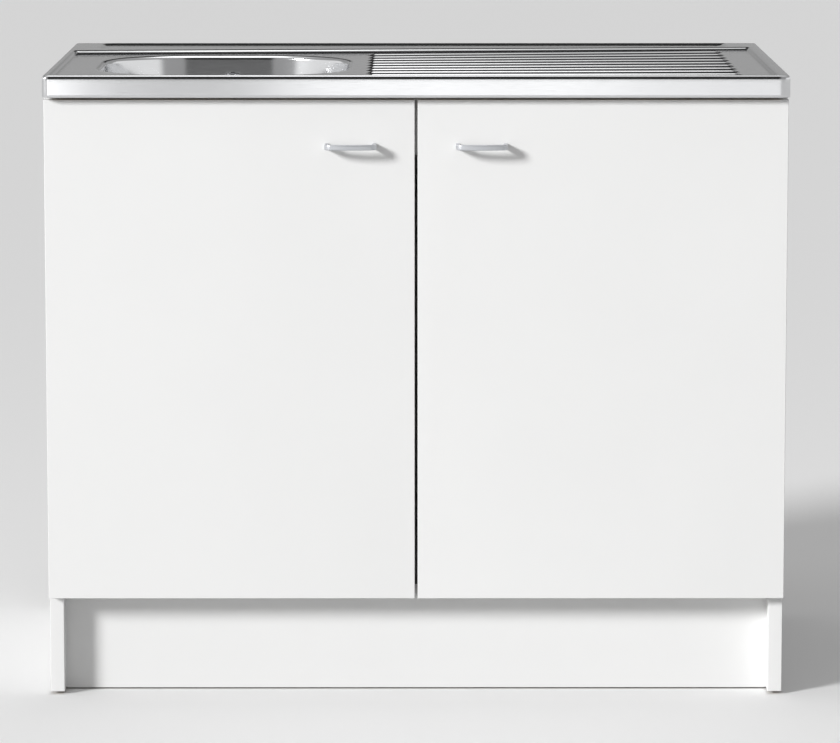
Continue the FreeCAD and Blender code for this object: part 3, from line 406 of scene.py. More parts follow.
@dataclass(frozen=True)
class ClearRubber:
    """Soft translucent disc."""

    name: str
    colour: Colour = (0.84, 0.86, 0.86)
    tone_change: float = 0.06
    cloud_scale: float = 160.0
    cloud_depth: float = 0.00003
    roughness: float = 0.335
    gloss_change: float = 0.065
    clearness: float = 0.55
    bending: float = 1.42

    def build(self) -> bpy.types.Material:
        """Make the material.

        Returns:
            A milky, partly see-through rubber with uneven gloss.
        """
        surface = Surface(self.name)
        cloud = surface.noise(Grain.EVEN, self.cloud_scale)
        surface.tone(surface.spread(cloud, 0.0, 1.0), shaded(self.colour, 1.0 - self.tone_change),
                     self.colour)
        surface.gloss(cloud, self.roughness, self.gloss_change)
        surface.bump(cloud, self.cloud_depth)
        surface.set(Transmission_Weight=self.clearness, IOR=self.bending)
        return surface.material


@dataclass(frozen=True)
class Finishes:
    """Every finish of the unit."""

    board: CoatedBoard = CoatedBoard("white_board")
    side_board: CoatedBoard = CoatedBoard("white_board_bare_rear_and_foot", bare=(REAR, DOWN))
    floor_board: CoatedBoard = CoatedBoard("white_board_bare_rear", bare=(REAR,))
    rail_board: CoatedBoard = CoatedBoard("white_board_bare_long_edges", bare=(UP, DOWN))
    hardboard: RawBoard = RawBoard("white_hardboard", (0.73, 0.72, 0.69), (0.79, 0.78, 0.76), 900.0,
                                   roughness=0.5, relief=0.00004)
    batten: RawBoard = RawBoard("batten_chipboard", CHIP_DARK, CHIP_LIGHT, 300.0)
    steel: BrushedSteel = BrushedSteel("brushed_steel")
    steel_fitting: BrushedSteel = BrushedSteel("satin_steel_fitting", own_map=False, roughness=0.3)
    zinc: Finish = Finish("zinc_plated", (0.66, 0.67, 0.68), 0.34, metallic=1.0, tone_change=0.10,
                          patch_scale=60.0)
    nickel: Finish = Finish("nickel_plated", (0.70, 0.68, 0.65), 0.22, metallic=1.0, tone_change=0.05)
    handle: Finish = Finish("satin_grey_metal", (0.56, 0.575, 0.60), 0.38, metallic=0.8, tone_change=0.05,
                            grain_depth=0.00003)
    drain: Finish = Finish("drain_polypropylene", (0.80, 0.81, 0.81), 0.42, tone_change=0.02)
    glide: Finish = Finish("moulded_plastic", (0.74, 0.74, 0.72), 0.45)
    rubber: Finish = Finish("black_rubber", (0.025, 0.025, 0.026), 0.6, grain_scale=500.0)
    silicone: ClearRubber = ClearRubber("clear_silicone")


# ---------------------------------------------------------------- meshes
@dataclass
class Patch:
    """A surface over a grid of two parameters, with its own map of the same shape."""

    points: np.ndarray
    across: np.ndarray
    along: np.ndarray
    closed: bool = False
    skip: np.ndarray | None = None

    def quads(self) -> np.ndarray:
        """Corner numbers of the grid's cells, counted row by row.

        Returns:
            An array of four corner numbers for each cell that isn't skipped.
        """
        rows, columns = self.points.shape[:2]
        number = np.arange(rows * columns).reshape(rows, columns)
        if self.closed:
            number = np.hstack([number, number[:, :1]])
        cells = np.stack([number[:-1, :-1], number[:-1, 1:], number[1:, 1:], number[1:, :-1]], axis=-1)
        if self.skip is not None:
            return cells[~self.skip]
        return cells.reshape(-1, 4)

    def corner_map(self) -> np.ndarray:
        """Map values of each cell's four corners, with the seam of a closed patch carried past its end.

        Returns:
            An array of four (across, along) pairs for each cell that isn't skipped.
        """
        across = self.across
        along = self.along
        if self.closed:
            step = across[:, -1:] - across[:, -2:-1]
            across = np.hstack([across, across[:, -1:] + step])
            along = np.hstack([along, along[:, :1]])
        both = np.stack([across, along], axis=-1)
        cells = np.stack([both[:-1, :-1], both[:-1, 1:], both[1:, 1:], both[1:, :-1]], axis=2)
        if self.skip is not None:
            return cells[~self.skip]
        return cells.reshape(-1, 4, 2)


def joined(name: str, patches: list[Patch], material: bpy.types.Material) -> bpy.types.Object:
    """One smooth mesh from patches that share their borders.

    Args:
        name: the piece's name.
        patches: surfaces whose cells run the same way round.
        material: its finish.

    Returns:
        The new object, at the origin.
    """
    starts = np.cumsum([0] + [patch.points.shape[0] * patch.points.shape[1] for patch in patches])
    points = np.vstack([patch.points.reshape(-1, 3) for patch in patches])
    quads = np.vstack([patch.quads() + start for patch, start in zip(patches, starts)])
    maps = np.vstack([patch.corner_map() for patch in patches])
    mesh = bpy.data.meshes.new(name)
    mesh.from_pydata(points.tolist(), [], quads.tolist())
    layer = mesh.uv_layers.new(name="sheet_map")
    layer.data.foreach_set("uv", maps.reshape(-1).astype(np.float32))
    work = bmesh.new()
    work.from_mesh(mesh)
    bmesh.ops.remove_doubles(work, verts=work.verts, dist=WELD_DISTANCE)
    work.to_mesh(mesh)
    work.free()
    mesh.polygons.foreach_set("use_smooth", np.ones(len(mesh.polygons), dtype=bool))
    mesh.materials.append(material)
    piece = bpy.data.objects.new(name, mesh)
    bpy.context.scene.collection.objects.link(piece)
    return piece


def thicken(piece: bpy.types.Object, wall: float) -> None:
    """Give a sheet its wall, towards its under side.

    Args:
        piece: the sheet.
        wall: metres.
    """
    modifier = piece.modifiers.new("wall", "SOLIDIFY")
    modifier.thickness = wall
    modifier.offset = -1.0


def stations(*parts: tuple[float, float, int]) -> np.ndarray:
    """Grid lines along one direction.

    Args:
        parts: stretches, each as start, end and number of cells.

    Returns:
        The sorted places of all the lines.
    """
    lines = [np.linspace(start, end, count + 1)[:-1] for start, end, count in parts]
    return np.append(np.concatenate(lines), parts[-1][1])


def ease(value: np.ndarray) -> np.ndarray:
    """Smooth step from 0 to 1: three times the square less twice the cube, level at both ends."""
    inside = np.clip(value, 0.0, 1.0)
    return inside * inside * (3.0 - 2.0 * inside)


def rectangle_distance(spot: np.ndarray, half: np.ndarray, corner: float) -> np.ndarray:
    """How far a point lies inside a rectangle with round corners; negative outside.

    Args:
        spot: x and y of each point, from the middle.
        half: half the rectangle's width and half its length.
        corner: corner radius.

    Returns:
        The distance to the outline: corner radius less the length of what sticks out of the core.
    """
    out_x, out_y = (np.abs(spot) - (half - corner)).T
    beyond = np.hypot(np.maximum(out_x, 0.0), np.maximum(out_y, 0.0))
    return corner - beyond - np.minimum(np.maximum(out_x, out_y), 0.0)


def rounded_inside(first: np.ndarray, second: np.ndarray, corner: float) -> np.ndarray:
    """How far a point lies inside two walls that meet in a round corner; negative outside.

    Args:
        first: distance from one wall.
        second: distance from the other.
        corner: radius between them.

    Returns:
        The smaller distance, or near the corner the radius less the distance to the arc's middle.
    """
    left = corner - first
    under = corner - second
    round_gap = corner - np.hypot(np.maximum(left, 0.0), np.maximum(under, 0.0))
    return np.where((left > 0) & (under > 0), round_gap, np.minimum(first, second))


@dataclass(frozen=True)
class SinkCells:
    """How many cells the sink top's grid has over each of its forms."""

    rim: int = 2
    rim_slope: int = 5
    margin: int = 10
    bowl_width: int = 54
    beside_bowl: int = 2
    rib_tip: int = 7
    rib_run: int = 20
    front_rim: int = 3
    front_slope: int = 5
    front_deck: int = 7
    before_ribs: int = 1
    rib: int = 8
    between_ribs: int = 3
    behind_ribs: int = 2
    ledge_slope: int = 8
    ledge_crown: int = 2
    ledge_strip: int = 4
    channel: int = 8
    channel_slope: int = 5
    back_rim: int = 3
    collar: int = 4
    bowl_roll: int = 7
    bowl_wall: int = 15
    bowl_foot: int = 11
    bowl_floor: int = 8
    edge: int = 14
    skirt: int = 4
    fold: int = 3


@dataclass
class SinkTop:
    """Pressed sheet with its rim, ledge, ribbed drainer, skirt and welded bowl.

    Sizes are in metres; edge_steep is in degrees and fold_turn in radians.  The window is the part
    of the top face's grid that is left out round the bowl.
    """

    cells: SinkCells = SinkCells()
    rim_left: float = 0.009
    rim_right: float = 0.017
    rim_front: float = 0.009
    rim_round: float = 0.004
    edge_steep: tuple[float, float] = (64.0, 82.0)
    edge_stretch: float = 3.0
    corner: float = 0.0065
    slope: float = 0.0065
    deck_drop: float = 0.0042
    deck_drop_right: float = 0.003
    drainer_left: float = -0.069
    drainer_right: float = 0.440
    rib_count: int = 9
    rib_first: float = 0.048
    rib_pitch_left: float = 0.045
    rib_pitch_right: float = 0.050
    rib_half_width: float = 0.0065
    rib_rise: float = 0.0029
    rib_tip: float = 0.012
    ledge_start: tuple[float, float] = (-0.463, 0.447)
    ledge_end: tuple[float, float] = (0.460, 0.507)
    ledge_run: float = 2.6
    channel_left: float = -0.458
    channel_right: float = 0.452
    channel_strip: float = 0.024
    channel_back: float = 0.592
    channel_slope: float = 0.007
    channel_depth: float = 0.002
    channel_corner: float = 0.020
    bowl_x: float = -0.264
    bowl_y: float = 0.233
    bowl_width: float = 0.340
    bowl_length: float = 0.346
    bowl_corner: float = 0.120
    bowl_depth: float = 0.1548
    bowl_taper: float = 0.014
    bowl_roll: float = 0.006
    floor_round: float = 0.024
    floor_fall: float = 0.0015
    drain_hole: float = 0.0475
    overflow_drop: float = 0.0488
    overflow_hole: float = 0.0165
    lip: float = 0.010
    fold: float = 0.0015
    fold_turn: float = math.pi * 3 / 7
    wall: float = 0.001
    halvings: int = 40
    window_left: float = -0.448
    window_right: float = -0.080
    window_front: float = 0.040
    window_back: float = 0.424

    def __post_init__(self) -> None:
        """Read the sheet's outer box from the frame."""
        low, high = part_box("sink_deck")
        self.front = low[1]
        self.top = high[2]
        self.bottom = low[2]
        self.half_x = (high[0] - low[0]) / 2
        self.depth = high[1] - low[1]

    def deck_level(self, x: np.ndarray) -> np.ndarray:
        """Height of the plain deck under the rim's level: steady round the bowl, then rising evenly."""
        share = np.maximum(x - self.drainer_left, 0.0) / (self.drainer_right - self.drainer_left)
        return -self.deck_drop + (self.deck_drop - self.deck_drop_right) * share

    def ledge_slope(self, x: np.ndarray) -> np.ndarray:
        """Run of the slope from the ledge down to the deck: the same multiple of the drop everywhere."""
        return -self.ledge_run * self.deck_level(np.clip(x, self.drainer_left, self.drainer_right))

    def ledge_front(self, x: np.ndarray) -> np.ndarray:
        """Front edge of the ledge's crown: a straight line that runs askew."""
        (start_x, start_y), (end_x, end_y) = self.ledge_start, self.ledge_end
        return start_y + (end_y - start_y) * (x - start_x) / (end_x - start_x)

    def rib_pitch(self, x: np.ndarray) -> np.ndarray:
        """Distance between the ribs, growing evenly along the drainer."""
        share = np.clip((x - self.drainer_left) / (self.drainer_right - self.drainer_left), 0.0, 1.0)
        return self.rib_pitch_left + (self.rib_pitch_right - self.rib_pitch_left) * share

    def height(self, x: np.ndarray, y: np.ndarray) -> np.ndarray:
        """Height of the pressed face over the plan, below the rim's level.

        Deck, with the ribs' waves added (squared cosine across, eased at both tips).  The rim and
        the ledge are blended in by distance from their outlines: eased at the rim, and as the
        square of the share at the ledge, so that its crest is crisp and its foot runs out softly.
        A shallow channel is sunk in the ledge.

        Args:
            x: places from the sheet's middle.
            y: places from the skirt's front.

        Returns:
            The height under the rim's level.
        """
        deck = self.deck_level(x)
        number = (y - self.rib_first) / self.rib_pitch(x)
        nearest = np.clip(np.round(number), 0, self.rib_count - 1)
        aside = np.abs(number - nearest) * self.rib_pitch(x) / self.rib_half_width
        wave = np.cos(np.clip(aside, 0.0, 1.0) * math.pi / 2) ** 2
        tips = (ease((x - self.drainer_left) / self.rib_tip)
                * ease((self.drainer_right - x) / self.rib_tip))
        face = deck + self.rib_rise * wave * tips
        behind = y - self.ledge_front(x)
        ledge = np.clip(1.0 + behind / self.ledge_slope(x), 0.0, 1.0) ** 2
        rim = np.minimum.reduce([x + self.half_x - self.rim_left, self.half_x - self.rim_right - x,
                                 y - self.rim_front])
        face = face * (1.0 - ledge) * ease(rim / self.slope)
        front = behind - self.channel_strip
        left = rounded_inside(x - self.channel_left, front, self.channel_corner)
        left_back = rounded_inside(x - self.channel_left, self.channel_back - y, self.channel_corner)
        channel = np.minimum.reduce([left, left_back, self.channel_right - x])
        return face - self.channel_depth * ease(channel / self.channel_slope)

    def columns(self) -> np.ndarray:
        """Lines across the sheet, close together where the pressing bends."""
        edge = self.half_x - self.rim_round
        left = self.rim_left - self.half_x
        right = self.half_x - self.rim_right
        first_tip = self.drainer_left + self.rib_tip
        last_tip = self.drainer_right - self.rib_tip
        cells = self.cells
        return stations((-edge, left, cells.rim), (left, left + self.slope, cells.rim_slope),
                        (left + self.slope, self.window_left, cells.margin),
                        (self.window_left, self.window_right, cells.bowl_width),
                        (self.window_right, self.drainer_left, cells.beside_bowl),
                        (self.drainer_left, first_tip, cells.rib_tip),
                        (first_tip, last_tip, cells.rib_run),
                        (last_tip, self.drainer_right, cells.rib_tip),
                        (self.drainer_right, right - self.slope, cells.margin),
                        (right - self.slope, right, cells.rim_slope), (right, edge, cells.rim))

    def ribbed_keys(self, x: np.ndarray) -> list[tuple[np.ndarray, int]]:
        """Guide lines over the bowl's window and the drainer: close on each rib, wide between them.

        Args:
            x: the columns.

        Returns:
            Pairs of the line's y at each column and the rows that follow it.
        """
        pitch = self.rib_pitch(x)
        fan = pitch / self.rib_pitch_left
        lines = [(self.rib_first + (self.window_front - self.rib_first) * fan, self.cells.before_ribs)]
        for number in range(self.rib_count):
            middle = self.rib_first + number * pitch
            lines += [(middle - self.rib_half_width, self.cells.rib),
                      (middle + self.rib_half_width, self.cells.between_ribs)]
        return lines

    def keys(self, x: np.ndarray) -> list[tuple[np.ndarray, int]]:
        """Guide lines in front of and behind the ribs, from front to back.

        Args:
            x: the columns.

        Returns:
            Pairs of the line's y at each column and the rows that follow it.
        """
        fan = self.rib_pitch(x) / self.rib_pitch_left
        level = np.ones_like(x)
        crest = self.ledge_front(x)
        cells = self.cells
        return [
            (level * self.rim_round, cells.front_rim),
            (level * self.rim_front, cells.front_slope),
            (level * (self.rim_front + self.slope), cells.front_deck),
            *self.ribbed_keys(x),
            (self.rib_first + (self.window_back - self.rib_first) * fan, cells.behind_ribs),
            (crest - self.ledge_slope(x), cells.ledge_slope),
            (crest, cells.ledge_crown),
            (crest + self.channel_strip, cells.ledge_strip),
            (crest + self.channel_strip + self.channel_slope, cells.channel),
            (level * (self.channel_back - self.channel_slope), cells.channel_slope),
            (level * self.channel_back, cells.back_rim),
            (level * (self.depth - self.rim_round), 0),
        ]

    def plan(self) -> tuple[np.ndarray, np.ndarray, int, int]:
        """Plan of the top face's grid, with its four corners rounded.

        Rows run evenly between the guide lines.  Near a corner the square of grid points is drawn
        in to a quarter disc: each point keeps the larger of its two distances as its radius.

        Returns:
            x and y of every grid point, and the rows between which the bowl's window lies.
        """
        columns = self.columns()
        keys = self.keys(columns)
        rows = []
        for (line, count), (following, _) in zip(keys[:-1], keys[1:]):
            share = np.arange(count)[:, None] / count
            rows.append(line + (following - line) * share)
        rows.append(keys[-1][0][None, :])
        y = np.vstack(rows)
        x = np.broadcast_to(columns, y.shape).copy()
        first = self.cells.front_rim + self.cells.front_slope + self.cells.front_deck
        last = first + sum(count for _, count in self.ribbed_keys(columns))
        middle = self.depth / 2
        core_x = self.half_x - self.corner
        core_y = middle - self.corner
        out_x = np.maximum(np.abs(x) - core_x, 0.0)
        out_y = np.maximum(np.abs(y - middle) - core_y, 0.0)
        reach = np.maximum(out_x, out_y)
        length = np.maximum(np.hypot(out_x, out_y), WELD_DISTANCE)
        both = (out_x > 0) & (out_y > 0)
        x = np.where(both, np.sign(x) * (core_x + out_x * reach / length), x)
        y = np.where(both, middle + np.sign(y - middle) * (core_y + out_y * reach / length), y)
        return x, y, first, last

    def raised(self, x: np.ndarray, y: np.ndarray, z: np.ndarray) -> np.ndarray:
        """Points in the frame from places on the sheet.

        Args:
            x: from the middle.
            y: from the skirt's front.
            z: from the rim's level.

        Returns:
            Stacked coordinates.
        """
        return np.stack([x, y + self.front, z + self.top], axis=-1)

    def face(self) -> tuple[Patch, np.ndarray, np.ndarray]:
        """Top face with the bowl's window left open.

        Returns:
            The patch, the window's border and the sheet's outer border, both as x and y in order.
        """
        x, y, first, last = self.plan()
        line = self.columns()
        left = int(np.argmin(np.abs(line - self.window_left)))
        right = int(np.argmin(np.abs(line - self.window_right)))
        skip = np.zeros((x.shape[0] - 1, x.shape[1] - 1), dtype=bool)
        skip[first:last, left:right] = True
        plan = np.stack([x, y], axis=-1)
        window = self._ring(plan[first:last + 1, left:right + 1])
        outside = self._ring(plan)
        return Patch(self.raised(x, y, self.height(x, y)), x, y, skip=skip), window, outside

    @staticmethod
    def _ring(block: np.ndarray) -> np.ndarray:
        """Border of a block of grid points, anticlockwise from its front left corner."""
        return np.vstack([block[0, :-1], block[:-1, -1], block[-1, :0:-1], block[:0:-1, 0]])

    def mouth(self, ring: np.ndarray) -> tuple[np.ndarray, np.ndarray]:
        """Points of the bowl's mouth in the directions of the window's border points.

        A border point keeps its share of the window's half width and half length, which gives its
        direction from the bowl's middle.  Halving then finds where that direction meets the
        outline.

        Args:
            ring: the window's border, anticlockwise from its front left corner.

        Returns:
            The outline's points and their outward directions.
        """
        offset = ring - np.array([self.bowl_x, self.bowl_y])
        half = np.array([self.bowl_width, self.bowl_length]) / 2
        core = half - self.bowl_corner
        frame_half = np.abs(offset).max(axis=0)
        unit = offset / frame_half
        angle = np.arctan2(unit[:, 1] * half[1], unit[:, 0] * half[0])
        direction = np.stack([np.cos(angle), np.sin(angle)], axis=-1)
        low = np.zeros(len(ring))
        high = np.full(len(ring), half.sum())
        for _ in range(self.halvings):
            middle = (low + high) / 2
            spot = direction * middle[:, None]
            inside = rectangle_distance(spot, half, self.bowl_corner) > 0
            low = np.where(inside, middle, low)
            high = np.where(inside, high, middle)
        spot = direction * low[:, None]
        normal = np.sign(spot) * np.maximum(np.abs(spot) - core, 0.0)
        normal /= np.linalg.norm(normal, axis=1)[:, None]
        return spot + np.array([self.bowl_x, self.bowl_y]), normal

    def bowl_profile(self) -> np.ndarray:
        """Section of the bowl from the deck to its floor, as inset and depth under the deck.

        A quarter arc rolls over the mouth, a straight tapering wall goes down, and a second arc
        turns into the floor.

        Returns:
            Pairs of inset from the mouth's outline and depth.
        """
        turn = np.linspace(0.0, math.pi / 2, self.cells.bowl_roll + 1)
        roll = np.stack([-self.bowl_roll + self.bowl_roll * np.sin(turn),
                         self.bowl_roll * (1.0 - np.cos(turn))], axis=-1)
        low = self.bowl_depth - self.floor_round
        drop = np.linspace(self.bowl_roll, low, self.cells.bowl_wall + 1)[1:-1]
        share = (drop - self.bowl_roll) / (low - self.bowl_roll)
        wall = np.stack([self.bowl_taper * share, drop], axis=-1)
        bend = np.linspace(0.0, math.pi / 2, self.cells.bowl_foot + 1)
        foot = np.stack([self.bowl_taper + self.floor_round * (1.0 - np.cos(bend)),
                         low + self.floor_round * np.sin(bend)], axis=-1)
        return np.vstack([roll, wall, foot])

    def bowl(self, ring: np.ndarray) -> list[Patch]:
        """Collar between the window and the mouth, and the bowl down to the drain hole.

        Args:
            ring: the window's border.

        Returns:
            The patches.
        """
        outline, normal = self.mouth(ring)
        profile = self.bowl_profile()
        deck = -self.deck_drop
        collar_end = outline + normal * self.bowl_roll
        share = np.linspace(0.0, 1.0, self.cells.collar + 1)[:, None, None]
        collar = ring + (collar_end - ring) * share
        inset = profile[:, 0][:, None, None]
        wall = outline - normal * inset
        depth = np.broadcast_to(profile[:, 1][:, None], wall.shape[:2])
        centre = np.array([self.bowl_x, self.bowl_y])
        last = wall[-1]
        angle = np.arctan2(last[:, 1] - centre[1], last[:, 0] - centre[0])
        hole = centre + self.drain_hole * np.stack([np.cos(angle), np.sin(angle)], axis=-1)
        way = np.linspace(0.0, 1.0, self.cells.bowl_floor + 1)[1:, None, None]
        base = last + (hole - last) * way
        fall = np.broadcast_to(self.bowl_depth + self.floor_fall * ease(way[:, :, 0]), base.shape[:2])
        rings = np.concatenate([wall, base])
        depths = np.concatenate([depth, fall])
        back = outline[:, 1].max()
        overflow = self._overflow_cells(rings, depths, back)
        around = np.broadcast_to(np.arange(len(ring)) / len(ring), rings.shape[:2])
        inward = np.broadcast_to(np.linspace(0.0, 1.0, len(rings))[:, None], rings.shape[:2])
        collar_patch = Patch(self.raised(collar[..., 0], collar[..., 1], np.full(collar.shape[:2], deck)),
                             collar[..., 0], collar[..., 1], closed=True)
        bowl_patch = Patch(self.raised(rings[..., 0], rings[..., 1], deck - depths), around, inward,
                           closed=True, skip=overflow)
        return [collar_patch, bowl_patch]

    def _overflow_cells(self, rings: np.ndarray, depths: np.ndarray, back: float) -> np.ndarray:
        """Cells of the back wall that the overflow's round hole takes out.

        Args:
            rings: plan of the bowl's rings.
            depths: their depths.
            back: y of the mouth's back.

        Returns:
            True where a cell's middle lies in the hole.
        """
        x = np.hstack([rings[..., 0], rings[:, :1, 0]])
        y = np.hstack([rings[..., 1], rings[:, :1, 1]])
        z = np.hstack([depths, depths[:, :1]])

        def middle(values: np.ndarray) -> np.ndarray:
            """Mean of each cell's corners."""
            return (values[:-1, :-1] + values[1:, :-1] + values[:-1, 1:] + values[1:, 1:]) / 4

        away = np.hypot(middle(x) - self.bowl_x, middle(z) - self.overflow_drop)
        near_back = middle(y) > back - 2 * self.bowl_taper
        return (away < self.overflow_hole) & near_back

    def edge_section(self) -> np.ndarray:
        """Section of the sheet's upper edge as it turns from level to upright.

        The slope angle grows evenly with the number of the point.  Each step is as long as the
        local radius: one share on the crown, edge_stretch shares on the steep part below it.  The
        whole turn is scaled to reach out by rim_round.

        Returns:
            Pairs of reach and drop from the end of the level top.
        """
        angle = np.linspace(0.0, math.pi / 2, self.cells.edge + 1)
        middle = (angle[1:] + angle[:-1]) / 2
        steep = (middle > math.radians(self.edge_steep[0])) & (middle < math.radians(self.edge_steep[1]))
        length = np.where(steep, self.edge_stretch, 1.0)
        steps = np.stack([length * np.cos(middle), -length * np.sin(middle)], axis=-1)
        places = np.vstack([[0.0, 0.0], np.cumsum(steps, axis=0)])
        return places * self.rim_round / places[-1, 0]

    def skirt(self, border: np.ndarray) -> Patch:
        """Rounded upper edge, upright skirt and inward fold, carried along the sheet's border.

        The section is the edge's turn, a straight drop, a small arc and a level lip.

        Args:
            border: the top face's outer border, anticlockwise.

        Returns:
            The patch.
        """
        middle = np.array([0.0, self.depth / 2])
        core = np.array([self.half_x, self.depth / 2]) - self.corner
        offset = border - middle
        normal = np.sign(offset) * np.maximum(np.abs(offset) - core, 0.0)
        normal /= np.linalg.norm(normal, axis=1)[:, None]
        arc = self.edge_section()
        height = self.top - self.bottom
        drop = np.linspace(arc[-1, 1], -height + self.fold, self.cells.skirt + 1)[1:-1]
        upright = np.stack([np.full_like(drop, self.rim_round), drop], axis=-1)
        turn = np.linspace(0.0, self.fold_turn, self.cells.fold + 1)
        under = np.stack([self.rim_round - self.fold * (1.0 - np.cos(turn)),
                          -height + self.fold * (1.0 - np.sin(turn))], axis=-1)
        lip = np.array([[self.rim_round - self.lip, -height]])
        section = np.vstack([arc, upright, under, lip])
        plan = border + normal * section[:, 0][:, None, None]
        z = np.broadcast_to(section[:, 1][:, None], plan.shape[:2])
        step = np.linalg.norm(np.roll(border, -1, axis=0) - border, axis=1)
        around = np.broadcast_to(np.concatenate([[0.0], np.cumsum(step)[:-1]]), plan.shape[:2])
        points = self.raised(plan[..., 0], plan[..., 1], z)
        return Patch(points[::-1], around[::-1], z[::-1], closed=True)

    def build(self, finishes: Finishes) -> None:
        """Make the sheet with its bowl.

        Args:
            finishes: where its steel comes from.
        """
        face, window, border = self.face()
        piece = joined("sink_top", [face, *self.bowl(window), self.skirt(border)], finishes.steel.build())
        thicken(piece, self.wall)
        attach(piece, "carcass")
        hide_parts("sink_deck", "sink_bowl")
        log.info("sink top: %d faces", len(piece.data.polygons))


# ---------------------------------------------------------------- frame pieces
class Smoother:
    """Gives carried-over pieces soft shading on their curved faces and keeps their edges crisp."""

    merge_distance: float = 2e-6
    crease: float = math.radians(32.0)

    def __init__(self) -> None:
        """Build the shared node group: merge, mark steep edges sharp, shade the rest smooth."""
        group = bpy.data.node_groups.new("soft_shading", "GeometryNodeTree")
        group.interface.new_socket("Geometry", in_out="INPUT", socket_type="NodeSocketGeometry")
        group.interface.new_socket("Geometry", in_out="OUTPUT", socket_type="NodeSocketGeometry")
        nodes = group.nodes
        start = nodes.new("NodeGroupInput")
        end = nodes.new("NodeGroupOutput")
        merge = nodes.new("GeometryNodeMergeByDistance")
        merge.inputs["Distance"].default_value = self.merge_distance
        angle = nodes.new("GeometryNodeInputMeshEdgeAngle")
        steep = nodes.new("FunctionNodeCompare")
        steep.operation = "LESS_THAN"
        steep.inputs[1].default_value = self.crease
        edges = nodes.new("GeometryNodeSetShadeSmooth")
        edges.domain = "EDGE"
        faces = nodes.new("GeometryNodeSetShadeSmooth")
        faces.domain = "FACE"
        link = group.links.new
        link(start.outputs[0], merge.inputs["Geometry"])
        link(merge.outputs[0], faces.inputs["Geometry"])
        link(faces.outputs[0], edges.inputs["Geometry"])
        link(angle.outputs["Unsigned Angle"], steep.inputs[0])
        link(steep.outputs[0], edges.inputs["Shade Smooth"])
        link(edges.outputs[0], end.inputs[0])
        self.group = group

    def apply(self, piece: bpy.types.Object) -> None:
        """Put the modifier on a piece."""
        piece.modifiers.new("soft_shading", "NODES").node_group = self.group


def dress(names: list[str], material: bpy.types.Material, smoother: Smoother) -> None:
    """Give carried-over pieces their finish.

    Args:
        names: the pieces.
        material: the finish.
        smoother: shading for their curved faces.
    """
    for name in names:
        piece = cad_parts[name]
        piece.data.materials.clear()
        piece.data.materials.append(material)
        smoother.apply(piece)
        log.info("%s: %s", name, material.name)


def sided(*names: str) -> list[str]:
    """The left and the right piece of each name."""
    return [side + "_" + name for side in ("left", "right") for name in names]


@dataclass
class Cabinet:
    """White boards, hardboard back, battens and fixings."""

    def build(self, finishes: Finishes, smoother: Smoother) -> None:
        """Dress every piece of the carcass.

        Args:
            finishes: every finish of the unit.
            smoother: shading for curved faces.
        """
        dress(sided("side_panel"), finishes.side_board.build(), smoother)
        dress(["bottom_panel"], finishes.floor_board.build(), smoother)
        dress(["front_top_rail", "rear_top_rail", "kick_board"], finishes.rail_board.build(), smoother)
        dress(["back_panel"], finishes.hardboard.build(), smoother)
        dress(["support_battens"], finishes.batten.build(), smoother)
        dress(["kick_board_brackets", "sink_brackets", "sink_bracket_screws", "assembly_screws",
               "hinge_plate_screws"], finishes.zinc.build(), smoother)
        dress(["floor_glides", "catch_magnets"], finishes.glide.build(), smoother)


@dataclass
class Doors:
    """Both doors with their hinges, handles, bumpers and strike plates."""

    def build(self, finishes: Finishes, smoother: Smoother) -> None:
        """Dress every piece that turns with a door, and the hinge parts on the sides.

        Args:
            finishes: every finish of the unit.
            smoother: shading for curved faces.
        """
        dress(sided("door"), finishes.board.build(), smoother)
        dress(sided("handle"), finishes.handle.build(), smoother)
        dress(sided("handle_screws", "hinge_cup_screws", "strike_plate"), finishes.zinc.build(), smoother)
        parts = [level + "_hinge_" + part for level in ("lower", "upper")
                 for part in ("plate", "arm", "cup", "pin")]
        dress(sided(*parts), finishes.nickel.build(), smoother)
        dress(sided("door_bumpers"), finishes.silicone.build(), smoother)


@dataclass
class Drain:
    """Waste, strainer, overflow and trap."""

    def build(self, finishes: Finishes, smoother: Smoother) -> None:
        """Dress every piece of the drain.

        Args:
            finishes: every finish of the unit.
            smoother: shading for curved faces.
        """
        dress(["waste_flange", "basket_strainer", "overflow_rosette", "waste_screw"],
              finishes.steel_fitting.build(), smoother)
        dress(["waste_body", "overflow_elbow", "overflow_tube", "trap_inlet_nut", "trap_inlet_pipe",
               "trap_body", "trap_cup", "trap_outlet_nut", "outlet_pipe"], finishes.drain.build(), smoother)
        dress(["waste_gasket"], finishes.rubber.build(), smoother)


# ---------------------------------------------------------------- studio
@dataclass(frozen=True)
class Softbox:
    """A large soft lamp: where it hangs, what it looks at, its size and its brightness."""

    name: str
    place: Place
    target: Place
    width: float
    height: float
    watts: float

    def build(self) -> None:
        """Hang the lamp."""
        data = bpy.data.lights.new(self.name, "AREA")
        data.shape = "RECTANGLE"
        data.size = self.width
        data.size_y = self.height
        data.energy = self.watts
        lamp = bpy.data.objects.new(self.name, data)
        lamp.location = self.place
        lamp.rotation_mode = "QUATERNION"
        lamp.rotation_quaternion = (Vector(self.target) - Vector(self.place)).to_track_quat("-Z", "Y")
        bpy.context.scene.collection.objects.link(lamp)


